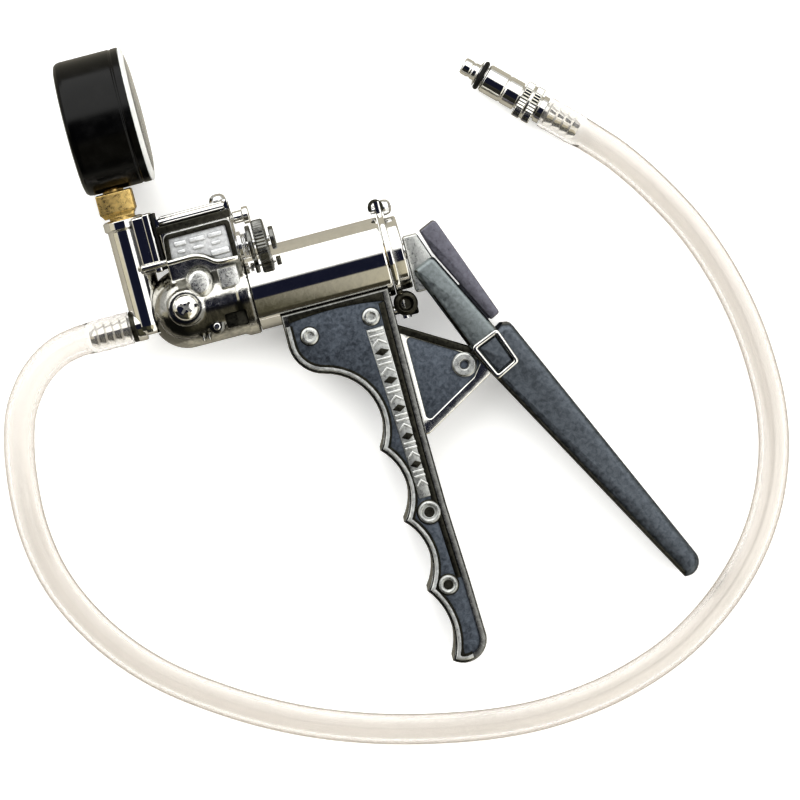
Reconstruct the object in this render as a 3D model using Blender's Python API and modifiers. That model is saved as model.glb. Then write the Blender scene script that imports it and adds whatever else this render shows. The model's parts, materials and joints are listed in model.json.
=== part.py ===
"""Hand vacuum pump with a pressure gauge and a hose that ends in a plug-in coupling.

Lengths are in millimetres and are turned into metres when a shape is made. The pump is drawn in its
own flat frame: X runs back along the cylinder, Y runs up towards the gauge and Z points out of the
near side. The empty pump_frame lays the pump on its far side, resting on the gauge, the grip and
the lever.
"""

import math

import bmesh
import bpy
from mathutils import Matrix, Vector

MM = 0.001
GAP = 0.3  # between pieces that touch
THIN = 0.15  # running clearance

# Driving dimensions
GAUGE_RADIUS = 21.1
GAUGE_X, GAUGE_Y = -33.3, 61.8
TUBE_OUTER, TUBE_BORE = 12.4, 10.9
TUBE_FRONT, TUBE_BACK = 0.3, 42.8
HEAD_DEPTH = 8.5  # half the thickness of the valve block
POST_X, POST_RADIUS = -32.6, 5.6
BARB_Y = -1.4
GRIP_HALF = 9.5  # half the thickness of the grip
LEVER_HALF = 10.0  # half the width of the lower lever
PIVOT = (57.6, -38.2)
ROD_PIN = (53.3, -10.5)
RELEASE_Y, RELEASE_Z = 14.6, 12.6
POINTER_REST = 135.0  # degrees from straight up to the zero mark
SECTOR_REST = -27.0  # half the sector's swing, so that it stays at the pinion
HOSE_RADIUS = 4.75
HOSE_BORE_OVER_BARB = 4.2
SLEEVE_RADIUS = 5.1
COLLAR_RADIUS = 6.0
PLUG_Y = 23.2

# How the pump lies: the gauge, the grip's end and the lever's end touch the table
LOWEST_Y = -126.9
TILT = math.asin((GAUGE_RADIUS - GRIP_HALF) / (GAUGE_Y - LOWEST_Y))
CENTRE_X = 30.24
CENTRE_Y = -22.36
LIFT = GAUGE_RADIUS - GAUGE_Y * math.sin(TILT)

# Hose centreline on the table, as x, y in the pump's frame and height above the table
HOSE_ROUTE = [
    (-55.5, -1.5, 17.2),
    (-61.6, -2.7, 16.9),
    (-68.2, -6.0, 15.9),
    (-74.4, -11.8, 14.0),
    (-79.8, -20.8, 11.2),
    (-83.6, -35.8, 7.6),
    (-84.7, -54.5, 5.2),
    (-81.2, -73.0, 4.8),
    (-72.0, -91.2, 4.8),
    (-58.6, -106.9, 4.8),
    (-41.0, -120.3, 4.8),
    (-22.0, -131.2, 4.8),
    (-2.0, -139.4, 4.8),
    (18.8, -145.2, 4.8),
    (40.0, -148.9, 4.8),
    (59.0, -149.6, 4.8),
    (79.0, -147.0, 4.8),
    (98.5, -140.6, 4.8),
    (115.0, -130.6, 4.8),
    (127.9, -118.6, 4.8),
    (137.2, -105.4, 4.8),
    (143.4, -91.0, 4.8),
    (146.6, -76.3, 4.8),
    (147.1, -61.0, 4.8),
    (145.7, -45.6, 4.8),
    (142.3, -30.2, 4.8),
    (136.8, -14.9, 4.8),
    (128.9, -0.2, 5.0),
    (120.6, 11.9, 5.6),
    (113.4, 19.9, 6.0),
]
HOSE_ENDS = ((-52.7, -1.4, 17.2), (111.15, 22.15, 6.0))  # where it meets the two barbs
HOSE_STEP = 16.0
COUPLING_TIP = (81.0, 51.7)
COUPLING_END = (111.0, 22.3)

# Colour, roughness and metallic of each finish
FINISHES = {
    "nickel": ((0.78, 0.78, 0.76), 0.12, 1.0),
    "satin_steel": ((0.30, 0.33, 0.37), 0.38, 1.0),
    "bright_steel": ((0.70, 0.70, 0.70), 0.2, 1.0),
    "brass": ((0.66, 0.47, 0.20), 0.3, 1.0),
    "black_plastic": ((0.01, 0.01, 0.012), 0.2, 0.0),
    "white_plate": ((0.85, 0.85, 0.83), 0.5, 0.0),
    "rubber": ((0.02, 0.02, 0.02), 0.6, 0.0),
    "clear": ((0.9, 0.9, 0.88), 0.1, 0.0),
}


# ---------------------------------------------------------------- helpers


def finish(name):
    """The material of that name, made once."""
    if name in bpy.data.materials:
        return bpy.data.materials[name]
    colour, roughness, metallic = FINISHES[name]
    material = bpy.data.materials.new(name)
    material.use_nodes = True
    shader = material.node_tree.nodes["Principled BSDF"]
    shader.inputs["Base Color"].default_value = (*colour, 1.0)
    shader.inputs["Roughness"].default_value = roughness
    shader.inputs["Metallic"].default_value = metallic
    return material


def add(name, mesh, material="nickel", parent=True):
    """An object in the pump's collection, lying in the pump's frame unless parent is False."""
    piece = bpy.data.objects.new(name, mesh)
    mesh.materials.clear()
    mesh.materials.append(finish(material))
    bpy.data.collections["hand_vacuum_pump"].objects.link(piece)
    if parent:
        piece.parent = bpy.data.objects["pump_frame"]
    return piece


def closed_mesh(name, bm):
    """Weld, turn the faces outwards and store."""
    bmesh.ops.remove_doubles(bm, verts=bm.verts, dist=1e-7)
    bmesh.ops.recalc_face_normals(bm, faces=bm.faces)
    mesh = bpy.data.meshes.new(name)
    bm.to_mesh(mesh)
    bm.free()
    return mesh


def metres(point):
    return Vector(point) * MM


def along(direction):
    """Rotation that turns +Z to a direction, keeping X level where it can."""
    return Vector(direction).to_track_quat("Z", "Y").to_matrix().to_4x4()


def box(name, low, high, material="nickel", bevel=0.0):
    bm = bmesh.new()
    bmesh.ops.create_cube(bm, size=1.0)
    size = metres(high) - metres(low)
    middle = (metres(high) + metres(low)) / 2
    bm.transform(Matrix.Translation(middle) @ Matrix.Diagonal((*size, 1.0)))
    piece = add(name, closed_mesh(name, bm), material)
    if bevel:
        round_edges(piece, bevel)
    return piece


def rod(name, radius, start, end, material="nickel", sides=24, turn=0.0, parent=True):
    """A cylinder, or a prism with few sides, between two points."""
    first, last = metres(start), metres(end)
    length = (last - first).length
    bm = bmesh.new()
    bmesh.ops.create_cone(
        bm,
        cap_ends=True,
        segments=sides,
        radius1=radius * MM,
        radius2=radius * MM,
        depth=length,
    )
    spin = Matrix.Rotation(math.radians(turn), 4, "Z")
    bm.transform(Matrix.Translation((first + last) / 2) @ along(last - first) @ spin)
    return add(name, closed_mesh(name, bm), material, parent)


def turned(name, profile, origin, direction, material="nickel", steps=32, closed=False, parent=True):
    """A lathe shape: profile is (radius, distance along direction), outer side first, from the far
    end back to the near one. A closed profile is a ring with a hole."""
    bm = bmesh.new()
    points = [bm.verts.new((radius * MM, 0.0, distance * MM)) for radius, distance in profile]
    for first, second in zip(points, points[1:]):
        bm.edges.new((first, second))
    if closed:
        bm.edges.new((points[-1], points[0]))
    mesh = bpy.data.meshes.new(name)
    bm.to_mesh(mesh)
    bm.free()
    piece = add(name, mesh, material, parent)
    piece.matrix_local = Matrix.Translation(metres(origin)) @ along(direction)
    screw = piece.modifiers.new("turn", "SCREW")
    screw.steps = steps
    screw.render_steps = steps
    screw.use_merge_vertices = True
    screw.merge_threshold = 0.00001
    screw.use_smooth_shade = True
    return piece


def ring(name, inner, outer, start, end, material="nickel", steps=32, parent=True):
    """A plain tube between two points."""
    length = (Vector(end) - Vector(start)).length
    direction = Vector(end) - Vector(start)
    profile = [(outer, length), (outer, 0.0), (inner, 0.0), (inner, length)]
    return turned(name, profile, start, direction, material, steps, True, parent)


def slab(name, outline, low, high, material="nickel", holes=(), plane="XY"):
    """A flat outline, filled and given thickness. Plane YZ stands it across the cylinder."""
    data = bpy.data.curves.new(name, "CURVE")
    data.dimensions = "2D"
    data.fill_mode = "BOTH"
    data.extrude = (high - low) / 2 * MM
    data.render_resolution_u = 0
    for loop in [outline, *holes]:
        spline = data.splines.new("POLY")
        spline.points.add(len(loop) - 1)
        for target, (first, second) in zip(spline.points, loop):
            target.co = (first * MM, second * MM, 0.0, 1.0)
        spline.use_cyclic_u = True
    guide = bpy.data.objects.new(name + "_outline", data)
    bpy.context.scene.collection.objects.link(guide)
    shift = Matrix.Translation((0.0, 0.0, (low + high) / 2 * MM))
    stand = Matrix(((0, 0, 1, 0), (1, 0, 0, 0), (0, 1, 0, 0), (0, 0, 0, 1)))
    piece = add(name, mesh_of(guide), material)
    piece.data.transform(stand @ shift if plane == "YZ" else shift)
    return piece


def mesh_of(curve_object):
    """The curve's solid as a mesh with welded caps; the curve is removed."""
    depsgraph = bpy.context.evaluated_depsgraph_get()
    mesh = bpy.data.meshes.new_from_object(curve_object.evaluated_get(depsgraph))
    bm = bmesh.new()
    bm.from_mesh(mesh)
    bpy.data.meshes.remove(mesh)
    name = curve_object.name
    data = curve_object.data
    bpy.data.objects.remove(curve_object)
    bpy.data.curves.remove(data)
    return closed_mesh(name, bm)


def pipe(name, points, radius, material="nickel", sides=2, parent=True):
    """A round wire or tube along points."""
    data = bpy.data.curves.new(name, "CURVE")
    data.dimensions = "3D"
    data.bevel_depth = radius * MM
    data.bevel_resolution = sides
    data.use_fill_caps = True
    spline = data.splines.new("POLY")
    spline.points.add(len(points) - 1)
    for target, point in zip(spline.points, points):
        target.co = (*metres(point), 1.0)
    guide = bpy.data.objects.new(name + "_line", data)
    bpy.context.scene.collection.objects.link(guide)
    return add(name, mesh_of(guide), material, parent)


def coil(name, radius, wire, start, end, turns, material="bright_steel"):
    """A compression spring along X, between two points."""
    count = int(turns * 9)
    points = []
    for step in range(count + 1):
        angle = 2 * math.pi * turns * step / count
        share = step / count
        points.append(
            (
                start[0] + (end[0] - start[0]) * share,
                start[1] + radius * math.cos(angle),
                start[2] + radius * math.sin(angle),
            )
        )
    return pipe(name, points, wire, material)


def round_edges(piece, width, angle=40.0, segments=1):
    """Small rounded edges where faces meet sharply."""
    bevel = piece.modifiers.new("edges", "BEVEL")
    bevel.width = width * MM
    bevel.segments = segments
    bevel.limit_method = "ANGLE"
    bevel.angle_limit = math.radians(angle)


def combine(piece, other, operation):
    """Boolean with a piece that becomes a hidden tool."""
    tool = piece.modifiers.new(operation.lower(), "BOOLEAN")
    tool.operation = operation
    tool.object = other
    tool.solver = "EXACT"
    bpy.data.collections["hand_vacuum_pump"].objects.unlink(other)
    bpy.data.collections["cutters"].objects.link(other)
    other.hide_render = True
    other.display_type = "WIRE"


def join(piece, *others):
    for other in others:
        combine(piece, other, "UNION")


def cut(piece, *others):
    for other in others:
        combine(piece, other, "DIFFERENCE")


def arc(start, middle, end, count):
    """Points on the circle through three points, without the first one."""
    (ax, ay), (bx, by), (cx, cy) = start, middle, end
    d = 2 * (ax * (by - cy) + bx * (cy - ay) + cx * (ay - by))
    a2, b2, c2 = ax * ax + ay * ay, bx * bx + by * by, cx * cx + cy * cy
    ux = (a2 * (by - cy) + b2 * (cy - ay) + c2 * (ay - by)) / d
    uy = (a2 * (cx - bx) + b2 * (ax - cx) + c2 * (bx - ax)) / d
    first = math.atan2(ay - uy, ax - ux)
    last = math.atan2(cy - uy, cx - ux)
    turning_left = (bx - ax) * (cy - ay) - (by - ay) * (cx - ax) > 0
    sweep = last - first
    while turning_left and sweep < 0:
        sweep += 2 * math.pi
    while not turning_left and sweep > 0:
        sweep -= 2 * math.pi
    radius = math.hypot(ax - ux, ay - uy)
    angles = [first + sweep * step / count for step in range(1, count + 1)]
    return [(ux + radius * math.cos(a), uy + radius * math.sin(a)) for a in angles]


def circle(centre, radius, count=20):
    angles = [2 * math.pi * step / count for step in range(count)]
    return [(centre[0] + radius * math.cos(a), centre[1] + radius * math.sin(a)) for a in angles]


def rounded(corners, radius, count=4):
    """A closed outline with its corners rounded; radius is one number or one for each corner."""
    radii = radius if isinstance(radius, (list, tuple)) else [radius] * len(corners)
    outline = []
    for index, corner in enumerate(corners):
        here = Vector(corner)
        before = (Vector(corners[index - 1]) - here).normalized()
        after = (Vector(corners[(index + 1) % len(corners)]) - here).normalized()
        half = before.angle(after) / 2
        reach = radii[index] / math.tan(half)
        if radii[index] == 0:
            outline.append(tuple(here))
            continue
        middle = here + (before + after).normalized() * (radii[index] / math.sin(half) - radii[index])
        start = tuple(here + before * reach)
        outline.append(start)
        outline.extend(arc(start, tuple(middle), tuple(here + after * reach), count))
    return outline


def inset(outline, distance):
    """The outline moved inwards. The outline runs clockwise or anticlockwise."""
    area = sum(
        a[0] * b[1] - b[0] * a[1] for a, b in zip(outline, outline[1:] + outline[:1])
    )
    side = 1.0 if area > 0 else -1.0
    moved = []
    for index, corner in enumerate(outline):
        here = Vector(corner)
        back = (here - Vector(outline[index - 1])).normalized()
        ahead = (Vector(outline[(index + 1) % len(outline)]) - here).normalized()
        normal_back = Vector((-back.y, back.x)) * side
        normal_ahead = Vector((-ahead.y, ahead.x)) * side
        middle = (normal_back + normal_ahead).normalized()
        scale = max(0.5, middle.dot(normal_back))
        moved.append(tuple(here + middle * (distance / scale)))
    return moved


def spline(points, step):
    """Points a step apart on a smooth curve through the given ones."""
    path = [Vector(point) for point in points]
    fine = []
    for index in range(len(path) - 1):
        p1, p2 = path[index], path[index + 1]
        p0 = path[index - 1] if index else p1 * 2 - p2
        p3 = path[index + 2] if index + 2 < len(path) else p2 * 2 - p1
        for part in range(12):
            t = part / 12
            fine.append(
                0.5
                * (
                    2 * p1
                    + (p2 - p0) * t
                    + (2 * p0 - 5 * p1 + 4 * p2 - p3) * t * t
                    + (3 * p1 - 3 * p2 + p3 - p0) * t * t * t
                )
            )
    fine.append(path[-1])
    lengths = [0.0]
    for first, second in zip(fine, fine[1:]):
        lengths.append(lengths[-1] + (second - first).length)
    count = max(2, round(lengths[-1] / step))
    result = []
    index = 0
    for part in range(count + 1):
        target = lengths[-1] * part / count
        while index < len(fine) - 2 and lengths[index + 1] < target:
            index += 1
        span = lengths[index + 1] - lengths[index]
        share = (target - lengths[index]) / span if span else 0.0
        result.append(tuple(fine[index].lerp(fine[index + 1], min(1.0, share))))
    return result


def on_table(x, y, height):
    """A point given in the pump's frame seen from above, in the world."""
    return (x - CENTRE_X, y - CENTRE_Y, height)


# ---------------------------------------------------------------- head


def build_head_casting():
    """Domed front end of the cylinder with the valve block on top."""
    dome_radius, dome_x = 12.3, -20.9
    dome = [(dome_radius, dome_x)]
    for step in range(1, 6):
        angle = math.radians(90 * step / 6)
        dome.append((dome_radius * math.cos(angle), dome_x - 11.4 * math.sin(angle)))
    dome.append((0.0, dome_x - 11.4))
    spigot = [(0.0, 5.0), (TUBE_BORE - THIN * 2, 5.0), (TUBE_BORE - THIN * 2, 3.4), (9.9, 3.4)]
    spigot += [(9.9, 1.8), (TUBE_BORE - THIN * 2, 1.8), (TUBE_BORE - THIN * 2, 0.0)]
    socket = [(13.1, 0.0), (13.1, -3.6), (dome_radius, -4.4)]
    head = turned("head_casting", spigot + socket + dome, (0, 0, 0), (1, 0, 0), steps=32)
    block = box("valve_block", (-22.8, 4.0, -HEAD_DEPTH), (-0.3, 26.2, HEAD_DEPTH), bevel=0.5)
    waist = box("block_waist", (-19.0, -2.0, -9.5), (-2.0, 8.0, 9.5), bevel=0.5)
    screw_boss = rod("screw_boss", 5.5, (-20.3, 0.6, 0.0), (-20.3, 0.6, 12.4), sides=24)
    blister = rod("blister", 1.0, (0, 0, -1), (0, 0, 1), sides=20)
    blister.data.transform(Matrix.Diagonal((4.3, 4.9, 1.0, 1.0)))
    blister.data.transform(Matrix.Translation(metres((-14.2, 7.4, 9.4))))
    round_edges(blister, 0.5)
    pin_boss = rod("pin_boss", 2.4, (-12.6, -7.4, 5.0), (-12.6, -7.4, 10.6), sides=20)
    join(head, block, waist, screw_boss, blister, pin_boss)
    post_room = rod("post_room", POST_RADIUS + GAP, (POST_X, -5.4, 0), (POST_X, 40, 0), sides=32)
    screw_hole = rod("screw_hole", 2.8, (-20.3, 0.6, 4.0), (-20.3, 0.6, 13.0), sides=20)
    plug_hole = rod("plug_hole", 1.7, (-9, PLUG_Y, 0), (1, PLUG_Y, 0), sides=16)
    cover_hole = rod("cover_hole", 1.5, (-2.9, 21.0, 5.2), (-2.9, 27, 5.2), sides=16)
    air_way = rod("air_way", 1.6, (-12, 0, 0), (6, 0, 0), sides=16)
    pin_hole = rod("pin_hole", 1.5, (-12.6, -7.4, 7.0), (-12.6, -7.4, 11.0), sides=16)
    cut(head, post_room, screw_hole, plug_hole, cover_hole, air_way, pin_hole)
    ring("head_o_ring", 10.0, 10.7, (2.0, 0, 0), (3.2, 0, 0), "rubber", 28)
    rod("head_pin", 1.2, (-12.6, -7.4, 7.4), (-12.6, -7.4, 11.4), "bright_steel", 16)


def build_inlet_valve():
    """Check valve under the cross-recess screw."""
    centre = (-20.3, 0.6)
    screw = turned(
        "valve_cap_screw",
        [(0, 15.2), (2.6, 14.9), (3.7, 14.2), (4.0, 13.2), (4.0, 12.7), (2.5, 12.7), (2.5, 9.6), (0, 9.6)],
        (*centre, 0),
        (0, 0, 1),
        steps=24,
    )
    for number, angle in enumerate((45, 135)):
        slot = box(f"recess_{number}", (-1.9, -0.45, 13.9), (1.9, 0.45, 16.0))
        slot.data.transform(Matrix.Rotation(math.radians(angle), 4, "Z"))
        slot.data.transform(Matrix.Translation(metres((*centre, 0))))
        cut(screw, slot)
    rod("inlet_valve_disc", 2.4, (*centre, 4.4), (*centre, 5.4), "rubber", 20)
    points = []
    for step in range(25):
        angle = 2 * math.pi * step / 8
        points.append(
            (centre[0] + 1.6 * math.cos(angle), centre[1] + 1.6 * math.sin(angle), 5.95 + step * 0.125)
        )
    pipe("inlet_valve_spring", points, 0.2, "bright_steel")


def build_manifold():
    """Vertical post that joins the gauge, the barb and the head."""
    post = rod("inlet_manifold", POST_RADIUS, (POST_X, -5.0, 0), (POST_X, 31.7, 0), sides=32)
    collar = rod("post_collar", 6.4, (POST_X, 28.7, 0), (POST_X, 31.2, 0), sides=32)
    flange = box("post_flange", (-30.0, 13.4, -8.2), (-24.2, 31.0, 8.2), bevel=0.5)
    join(post, collar, flange)
    stem_hole = rod("stem_hole", 4.3, (POST_X, 22.0, 0), (POST_X, 33, 0), sides=24)
    down = rod("post_way", 1.8, (POST_X, -1.6, 0), (POST_X, 23, 0), sides=16)
    barb_hole = rod("barb_hole", 2.7, (-39, BARB_Y, 0), (-30.6, BARB_Y, 0), sides=24)
    spot_face = rod("spot_face", 4.6, (-39, BARB_Y, 0), (-36.0, BARB_Y, 0), sides=24)
    cut(post, stem_hole, down, barb_hole, spot_face)
    box("manifold_gasket", (-23.9, 13.4, -8.0), (-23.1, 30.8, 8.0), "rubber")


def build_cover():
    cover = box("top_cover", (-22.8, 26.5, -8.8), (-0.4, 29.3, 8.8), bevel=0.6)
    hole = rod("cover_bore", 1.5, (-2.9, 26, 5.2), (-2.9, 30, 5.2), sides=16)
    cut(cover, hole)
    turned(
        "top_cover_screw",
        [(0, 31.6), (1.2, 31.3), (2.1, 30.6), (2.6, 29.6), (1.2, 29.6), (1.2, 22.0), (0, 22.0)],
        (-2.9, 0, 5.2),
        (0, 1, 0),
        "bright_steel",
        20,
    )
    turned(
        "passage_plug",
        [(0, 5.3), (2.3, 5.3), (2.6, 4.9), (2.6, 3.2), (1.4, 3.2), (1.4, -6.0), (0, -6.0)],
        (0, PLUG_Y, 0),
        (1, 0, 0),
        steps=20,
    )


def build_release():
    """Vacuum release: a housing on the near side of the block with a sprung thumb knob behind it."""
    edge = [(-22.4, 14.3), (-12.8, 14.3), (-10.8, 13.6), (-7.6, 11.3), (-5.4, 10.6), (-0.6, 10.6)]
    outline = edge + rounded([(-0.6, 10.6), (-0.6, 23.8), (-21.6, 23.8), (-22.4, 14.3)], [0, 1.5, 2.5, 0])[1:-1]
    housing = slab("valve_housing", outline, 8.8, 17.4)
    tab = slab("housing_tab", [(-30.8, 14.3), (-21.0, 14.3), (-21.0, 16.4), (-30.8, 16.4)], 8.8, 11.4)
    join(housing, tab)
    stem_hole = rod("release_hole", 1.5, (-14, RELEASE_Y, RELEASE_Z), (1, RELEASE_Y, RELEASE_Z), sides=16)
    bush_seat = rod("bush_seat", 2.9, (-3.4, RELEASE_Y, RELEASE_Z), (1, RELEASE_Y, RELEASE_Z), sides=20)
    cut(housing, stem_hole, bush_seat)
    axis = (0, RELEASE_Y, RELEASE_Z)
    bush = [(4.4, 1.3), (4.4, 0.0), (2.6, 0.0), (2.6, -3.0), (1.2, -3.0), (1.2, 1.3)]
    turned("release_bush", bush, axis, (1, 0, 0), "bright_steel", 20, True)
    plunger = [(0, 9.7), (0.95, 9.7), (0.95, -9.0), (0, -9.0)]
    turned("release_stem", plunger, axis, (1, 0, 0), "bright_steel", 16)
    washer = [(5.5, 4.5), (5.5, 3.1), (1.2, 3.1), (1.2, 4.5)]
    turned("release_washer", washer, axis, (1, 0, 0), "nickel", 24, True)
    knob = [(6.4, 9.0), (6.6, 8.6), (6.6, 5.6), (6.4, 5.2), (1.2, 5.2), (1.2, 9.0)]
    turned("release_knob", knob, axis, (1, 0, 0), "nickel", 24, True)
    end_nut = [(3.6, 11.4), (3.6, 9.9), (1.2, 9.9), (1.2, 11.4)]
    turned("release_end_nut", end_nut, axis, (1, 0, 0), "nickel", 24, True)
    coil("release_spring", 3.2, 0.25, (1.65, *axis[1:]), (2.75, *axis[1:]), 2.0)


def build_barb():
    """Hose barb: the profile runs from the tip back to the threaded shank."""
    profile = [(3.0, 15.7)]
    for ridge in range(5):
        back = 15.7 - 2.5 * (ridge + 1)
        profile += [(3.9, back + 0.3), (3.1, back)]
    profile += [(3.1, 2.6), (4.2, 2.6), (4.2, 0.3), (2.4, 0.3), (2.4, -5.0), (1.6, -5.0), (1.6, 15.7)]
    turned("hose_barb", profile, (-36.0, BARB_Y, 0), (-1, 0, 0), steps=16, closed=True)


# ---------------------------------------------------------------- gauge


def build_gauge():
    depth = 20.7  # of the case, from its back
    wall = 1.6
    back = -41.6
    case_profile = [
        (GAUGE_RADIUS, depth),
        (GAUGE_RADIUS, 1.0),
        (GAUGE_RADIUS - 1.0, 0.0),
        (0, 0),
        (0, wall),
        (GAUGE_RADIUS - wall - 0.4, wall),
        (GAUGE_RADIUS - wall - 0.4, depth),
    ]
    open_profile = case_profile + [case_profile[0]]
    case = turned("gauge_case", open_profile, (back, GAUGE_Y, 0), (1, 0, 0), "black_plastic", 36)
    neck_room = rod("neck_room", 3.6, (GAUGE_X, 38, 0), (GAUGE_X, 50, 0), sides=20)
    cut(case, neck_room)
    lens = [
        (0, 23.0),
        (18.0, 22.2),
        (20.6, 21.7),
        (GAUGE_RADIUS, 21.0),
        (18.6, 21.0),
        (18.6, 19.4),
        (17.6, 19.4),
        (17.6, 20.8),
        (0, 21.4),
    ]
    turned("gauge_lens", lens, (back, GAUGE_Y, 0), (1, 0, 0), "clear", 32)
    dial = circle((GAUGE_Y, 0), 18.8, 48)
    hole = circle((GAUGE_Y, 0), 1.0, 12)
    slab("gauge_dial", dial, back + 18.0, back + 18.4, "white_plate", [hole], "YZ")

    stem = box("gauge_stem", (-38.9, 32.4, -5.6), (-27.7, 40.3, 5.6), "brass", 0.9)
    shank = rod("stem_shank", 4.0, (POST_X, 25.0, 0), (POST_X, 34, 0), sides=24)
    neck = rod("stem_neck", 3.3, (GAUGE_X, 39, 0), (GAUGE_X, 46, 0), sides=20)
    socket = box("stem_socket", (-37.3, 45.0, -4.0), (-29.3, 50.0, 4.0))
    join(stem, shank, neck, socket)
    bore = rod("stem_bore", 1.2, (POST_X, 24, 0), (POST_X, 48, 0), sides=12)
    cut(stem, bore)

    tube = []
    for step in range(21):
        angle = math.radians(-68 + 250 * step / 20)
        tube.append((-33.3, GAUGE_Y + 14.5 * math.sin(angle), 14.5 * math.cos(angle)))
    pipe("bourdon_tube", tube, 1.3, "brass")

    front_plate = box("movement_frame", (-25.8, 53.6, -6.0), (-25.0, 66.0, 6.0), "brass")
    back_plate = box("movement_back", (-30.4, 53.6, -6.0), (-29.6, 66.0, 6.0))
    first_post = rod("pillar_0", 0.8, (-30.0, 64.5, 4.4), (-25.4, 64.5, 4.4), sides=12)
    second_post = rod("pillar_1", 0.8, (-30.0, 64.5, -4.4), (-25.4, 64.5, -4.4), sides=12)
    foot = box("movement_foot", (-30.4, 50.3, -3.0), (-25.0, 54.0, 3.0))
    join(front_plate, back_plate, first_post, second_post, foot)
    pinion_room = rod("pinion_room", 0.8, (-32, GAUGE_Y, 0), (-24, GAUGE_Y, 0), sides=12)
    sector_room = rod("sector_room", 0.8, (-32, GAUGE_Y - 5.5, 0), (-24, GAUGE_Y - 5.5, 0), sides=12)
    cut(front_plate, pinion_room, sector_room)

    pinion = [(0, -21.3), (0.5, -21.3), (0.5, -26.8), (0.9, -26.8), (0.9, -28.6), (0.5, -28.6)]
    pinion += [(0.5, -30.8), (0, -30.8)]
    turned("pinion_shaft", pinion, (0, GAUGE_Y, 0), (1, 0, 0), "brass", 12)
    pivot_y = GAUGE_Y - 5.5
    polar = [(1.5, 53.0), (1.1, 180.0), (1.5, -53.0)]
    polar += [(4.3, -32.0 + 64.0 * step / 8) for step in range(9)]
    fan = []
    for radius, degrees in polar:
        angle = math.radians(degrees + SECTOR_REST)
        fan.append((pivot_y + radius * math.cos(angle), radius * math.sin(angle)))
    sector = slab("sector_gear", fan, -28.4, -27.0, "brass", (), "YZ")
    arbor = rod("sector_arbor", 0.5, (-30.8, pivot_y, 0), (-24.4, pivot_y, 0), sides=12)
    join(sector, arbor)

    swing = math.radians(POINTER_REST)
    tip, tail, half = 15.5, -5.0, 0.7
    shape = [(tail, -1.2), (tail, 1.2), (0.0, 1.6), (tip - 3, half), (tip, 0), (tip - 3, -half), (0, -1.6)]
    hand = []
    for a, b in shape:
        hand.append(
            (
                GAUGE_Y + a * math.cos(swing) - b * math.sin(swing),
                a * math.sin(swing) + b * math.cos(swing),
            )
        )
    slab("gauge_pointer", hand, -22.3, -22.0, "black_plastic", [circle((GAUGE_Y, 0), 0.8, 12)], "YZ")




# ---------------------------------------------------------------- cylinder and piston


def build_cylinder():
    ring("cylinder_tube", TUBE_BORE, TUBE_OUTER, (TUBE_FRONT, 0, 0), (TUBE_BACK, 0, 0), steps=48)

    flange = [(17, -3), (17, 3), (13.26, 3)] + arc((13.26, 3), (0, 13.6), (-13.0, 4), 12)
    flange += [(-20, 4), (-20, -4), (-13.0, -4)] + arc((-13.0, -4), (0, -13.6), (13.26, -3), 12)[:-1]
    cap = slab("rear_cap", flange, 43.1, 45.0, "nickel", (), "YZ")
    boss = rod("cap_boss", 11.4, (44.0, 0, 0), (48.5, 0, 0), sides=32)
    spigot = rod("cap_spigot", TUBE_BORE - THIN * 2, (39.8, 0, 0), (44.3, 0, 0), sides=24)
    join(cap, boss, spigot)
    bush_hole = rod("bush_hole", 4.3, (39, 0, 0), (46.2, 0, 0), sides=24)
    rod_hole = rod("rod_hole", 3.1, (39, 0, 0), (49, 0, 0), sides=24)
    lug_hole = rod("lug_hole", 1.5, (42, 14.6, 0), (46, 14.6, 0), sides=16)
    foot_hole = rod("foot_hole", 1.7, (42, -17, 0), (46, -17, 0), sides=16)
    cut(cap, bush_hole, rod_hole, lug_hole, foot_hole)
    ring("rod_bush", 2.7, 4.0, (40.2, 0, 0), (45.9, 0, 0), "brass", 24)

    lug_screw = [(0, 3.0), (1.4, 2.8), (2.2, 2.0), (2.4, 0.9), (2.4, 0.3), (1.2, 0.3), (1.2, -3.6), (0, -3.6)]
    turned("lug_screw", lug_screw, (45.0, 14.6, 0), (1, 0, 0), "bright_steel", 20)
    head = rod("grip_screw", 2.5, (45.3, -17, 0), (48.6, -17, 0), "bright_steel", 6)
    shank = rod("grip_screw_shank", 1.4, (37.2, -17, 0), (46, -17, 0), sides=16)
    join(head, shank)


def build_piston():
    """Piston, its cup seal, the rod and the rod's end block; they slide together."""
    ring("piston", 2.8, TUBE_BORE - GAP, (7.6, 0, 0), (11.2, 0, 0), "bright_steel", 24)
    cup = [(TUBE_BORE - 0.2, 7.3), (TUBE_BORE - 0.2, 5.4), (9.6, 5.4), (9.0, 6.1), (2.8, 6.1), (2.8, 7.3)]
    turned("piston_seal", cup, (0, 0, 0), (1, 0, 0), "rubber", 24, True)
    rod("piston_rod", 2.5, (6.1, 0, 0), (52.6, 0, 0), "bright_steel", 24)
    ring("piston_nut", 3.2, 4.4, (11.5, 0, 0), (13.5, 0, 0), "bright_steel", 6)
    coil("return_spring", 7.2, 0.6, (14.4, 0, 0), (39.0, 0, 0), 6.0)
    outline = [(48.9, -13.2), (48.9, 3.9), (49.4, 4.4), (53.6, 4.4), (56.7, -4.5), (57.0, -13.2)]
    block = slab("rod_end", outline, -4.6, 4.6, "satin_steel")
    rod_bore = rod("rod_bore", 2.8, (48, 0, 0), (52.9, 0, 0), sides=24)
    pin_bore = rod("pin_bore", 1.9, (*ROD_PIN, -6), (*ROD_PIN, 6), sides=20)
    cut(block, rod_bore, pin_bore)
    rod("rod_pin", 1.6, (*ROD_PIN, -6.1), (*ROD_PIN, 6.1), "bright_steel", 20)


# ---------------------------------------------------------------- grip


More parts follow.
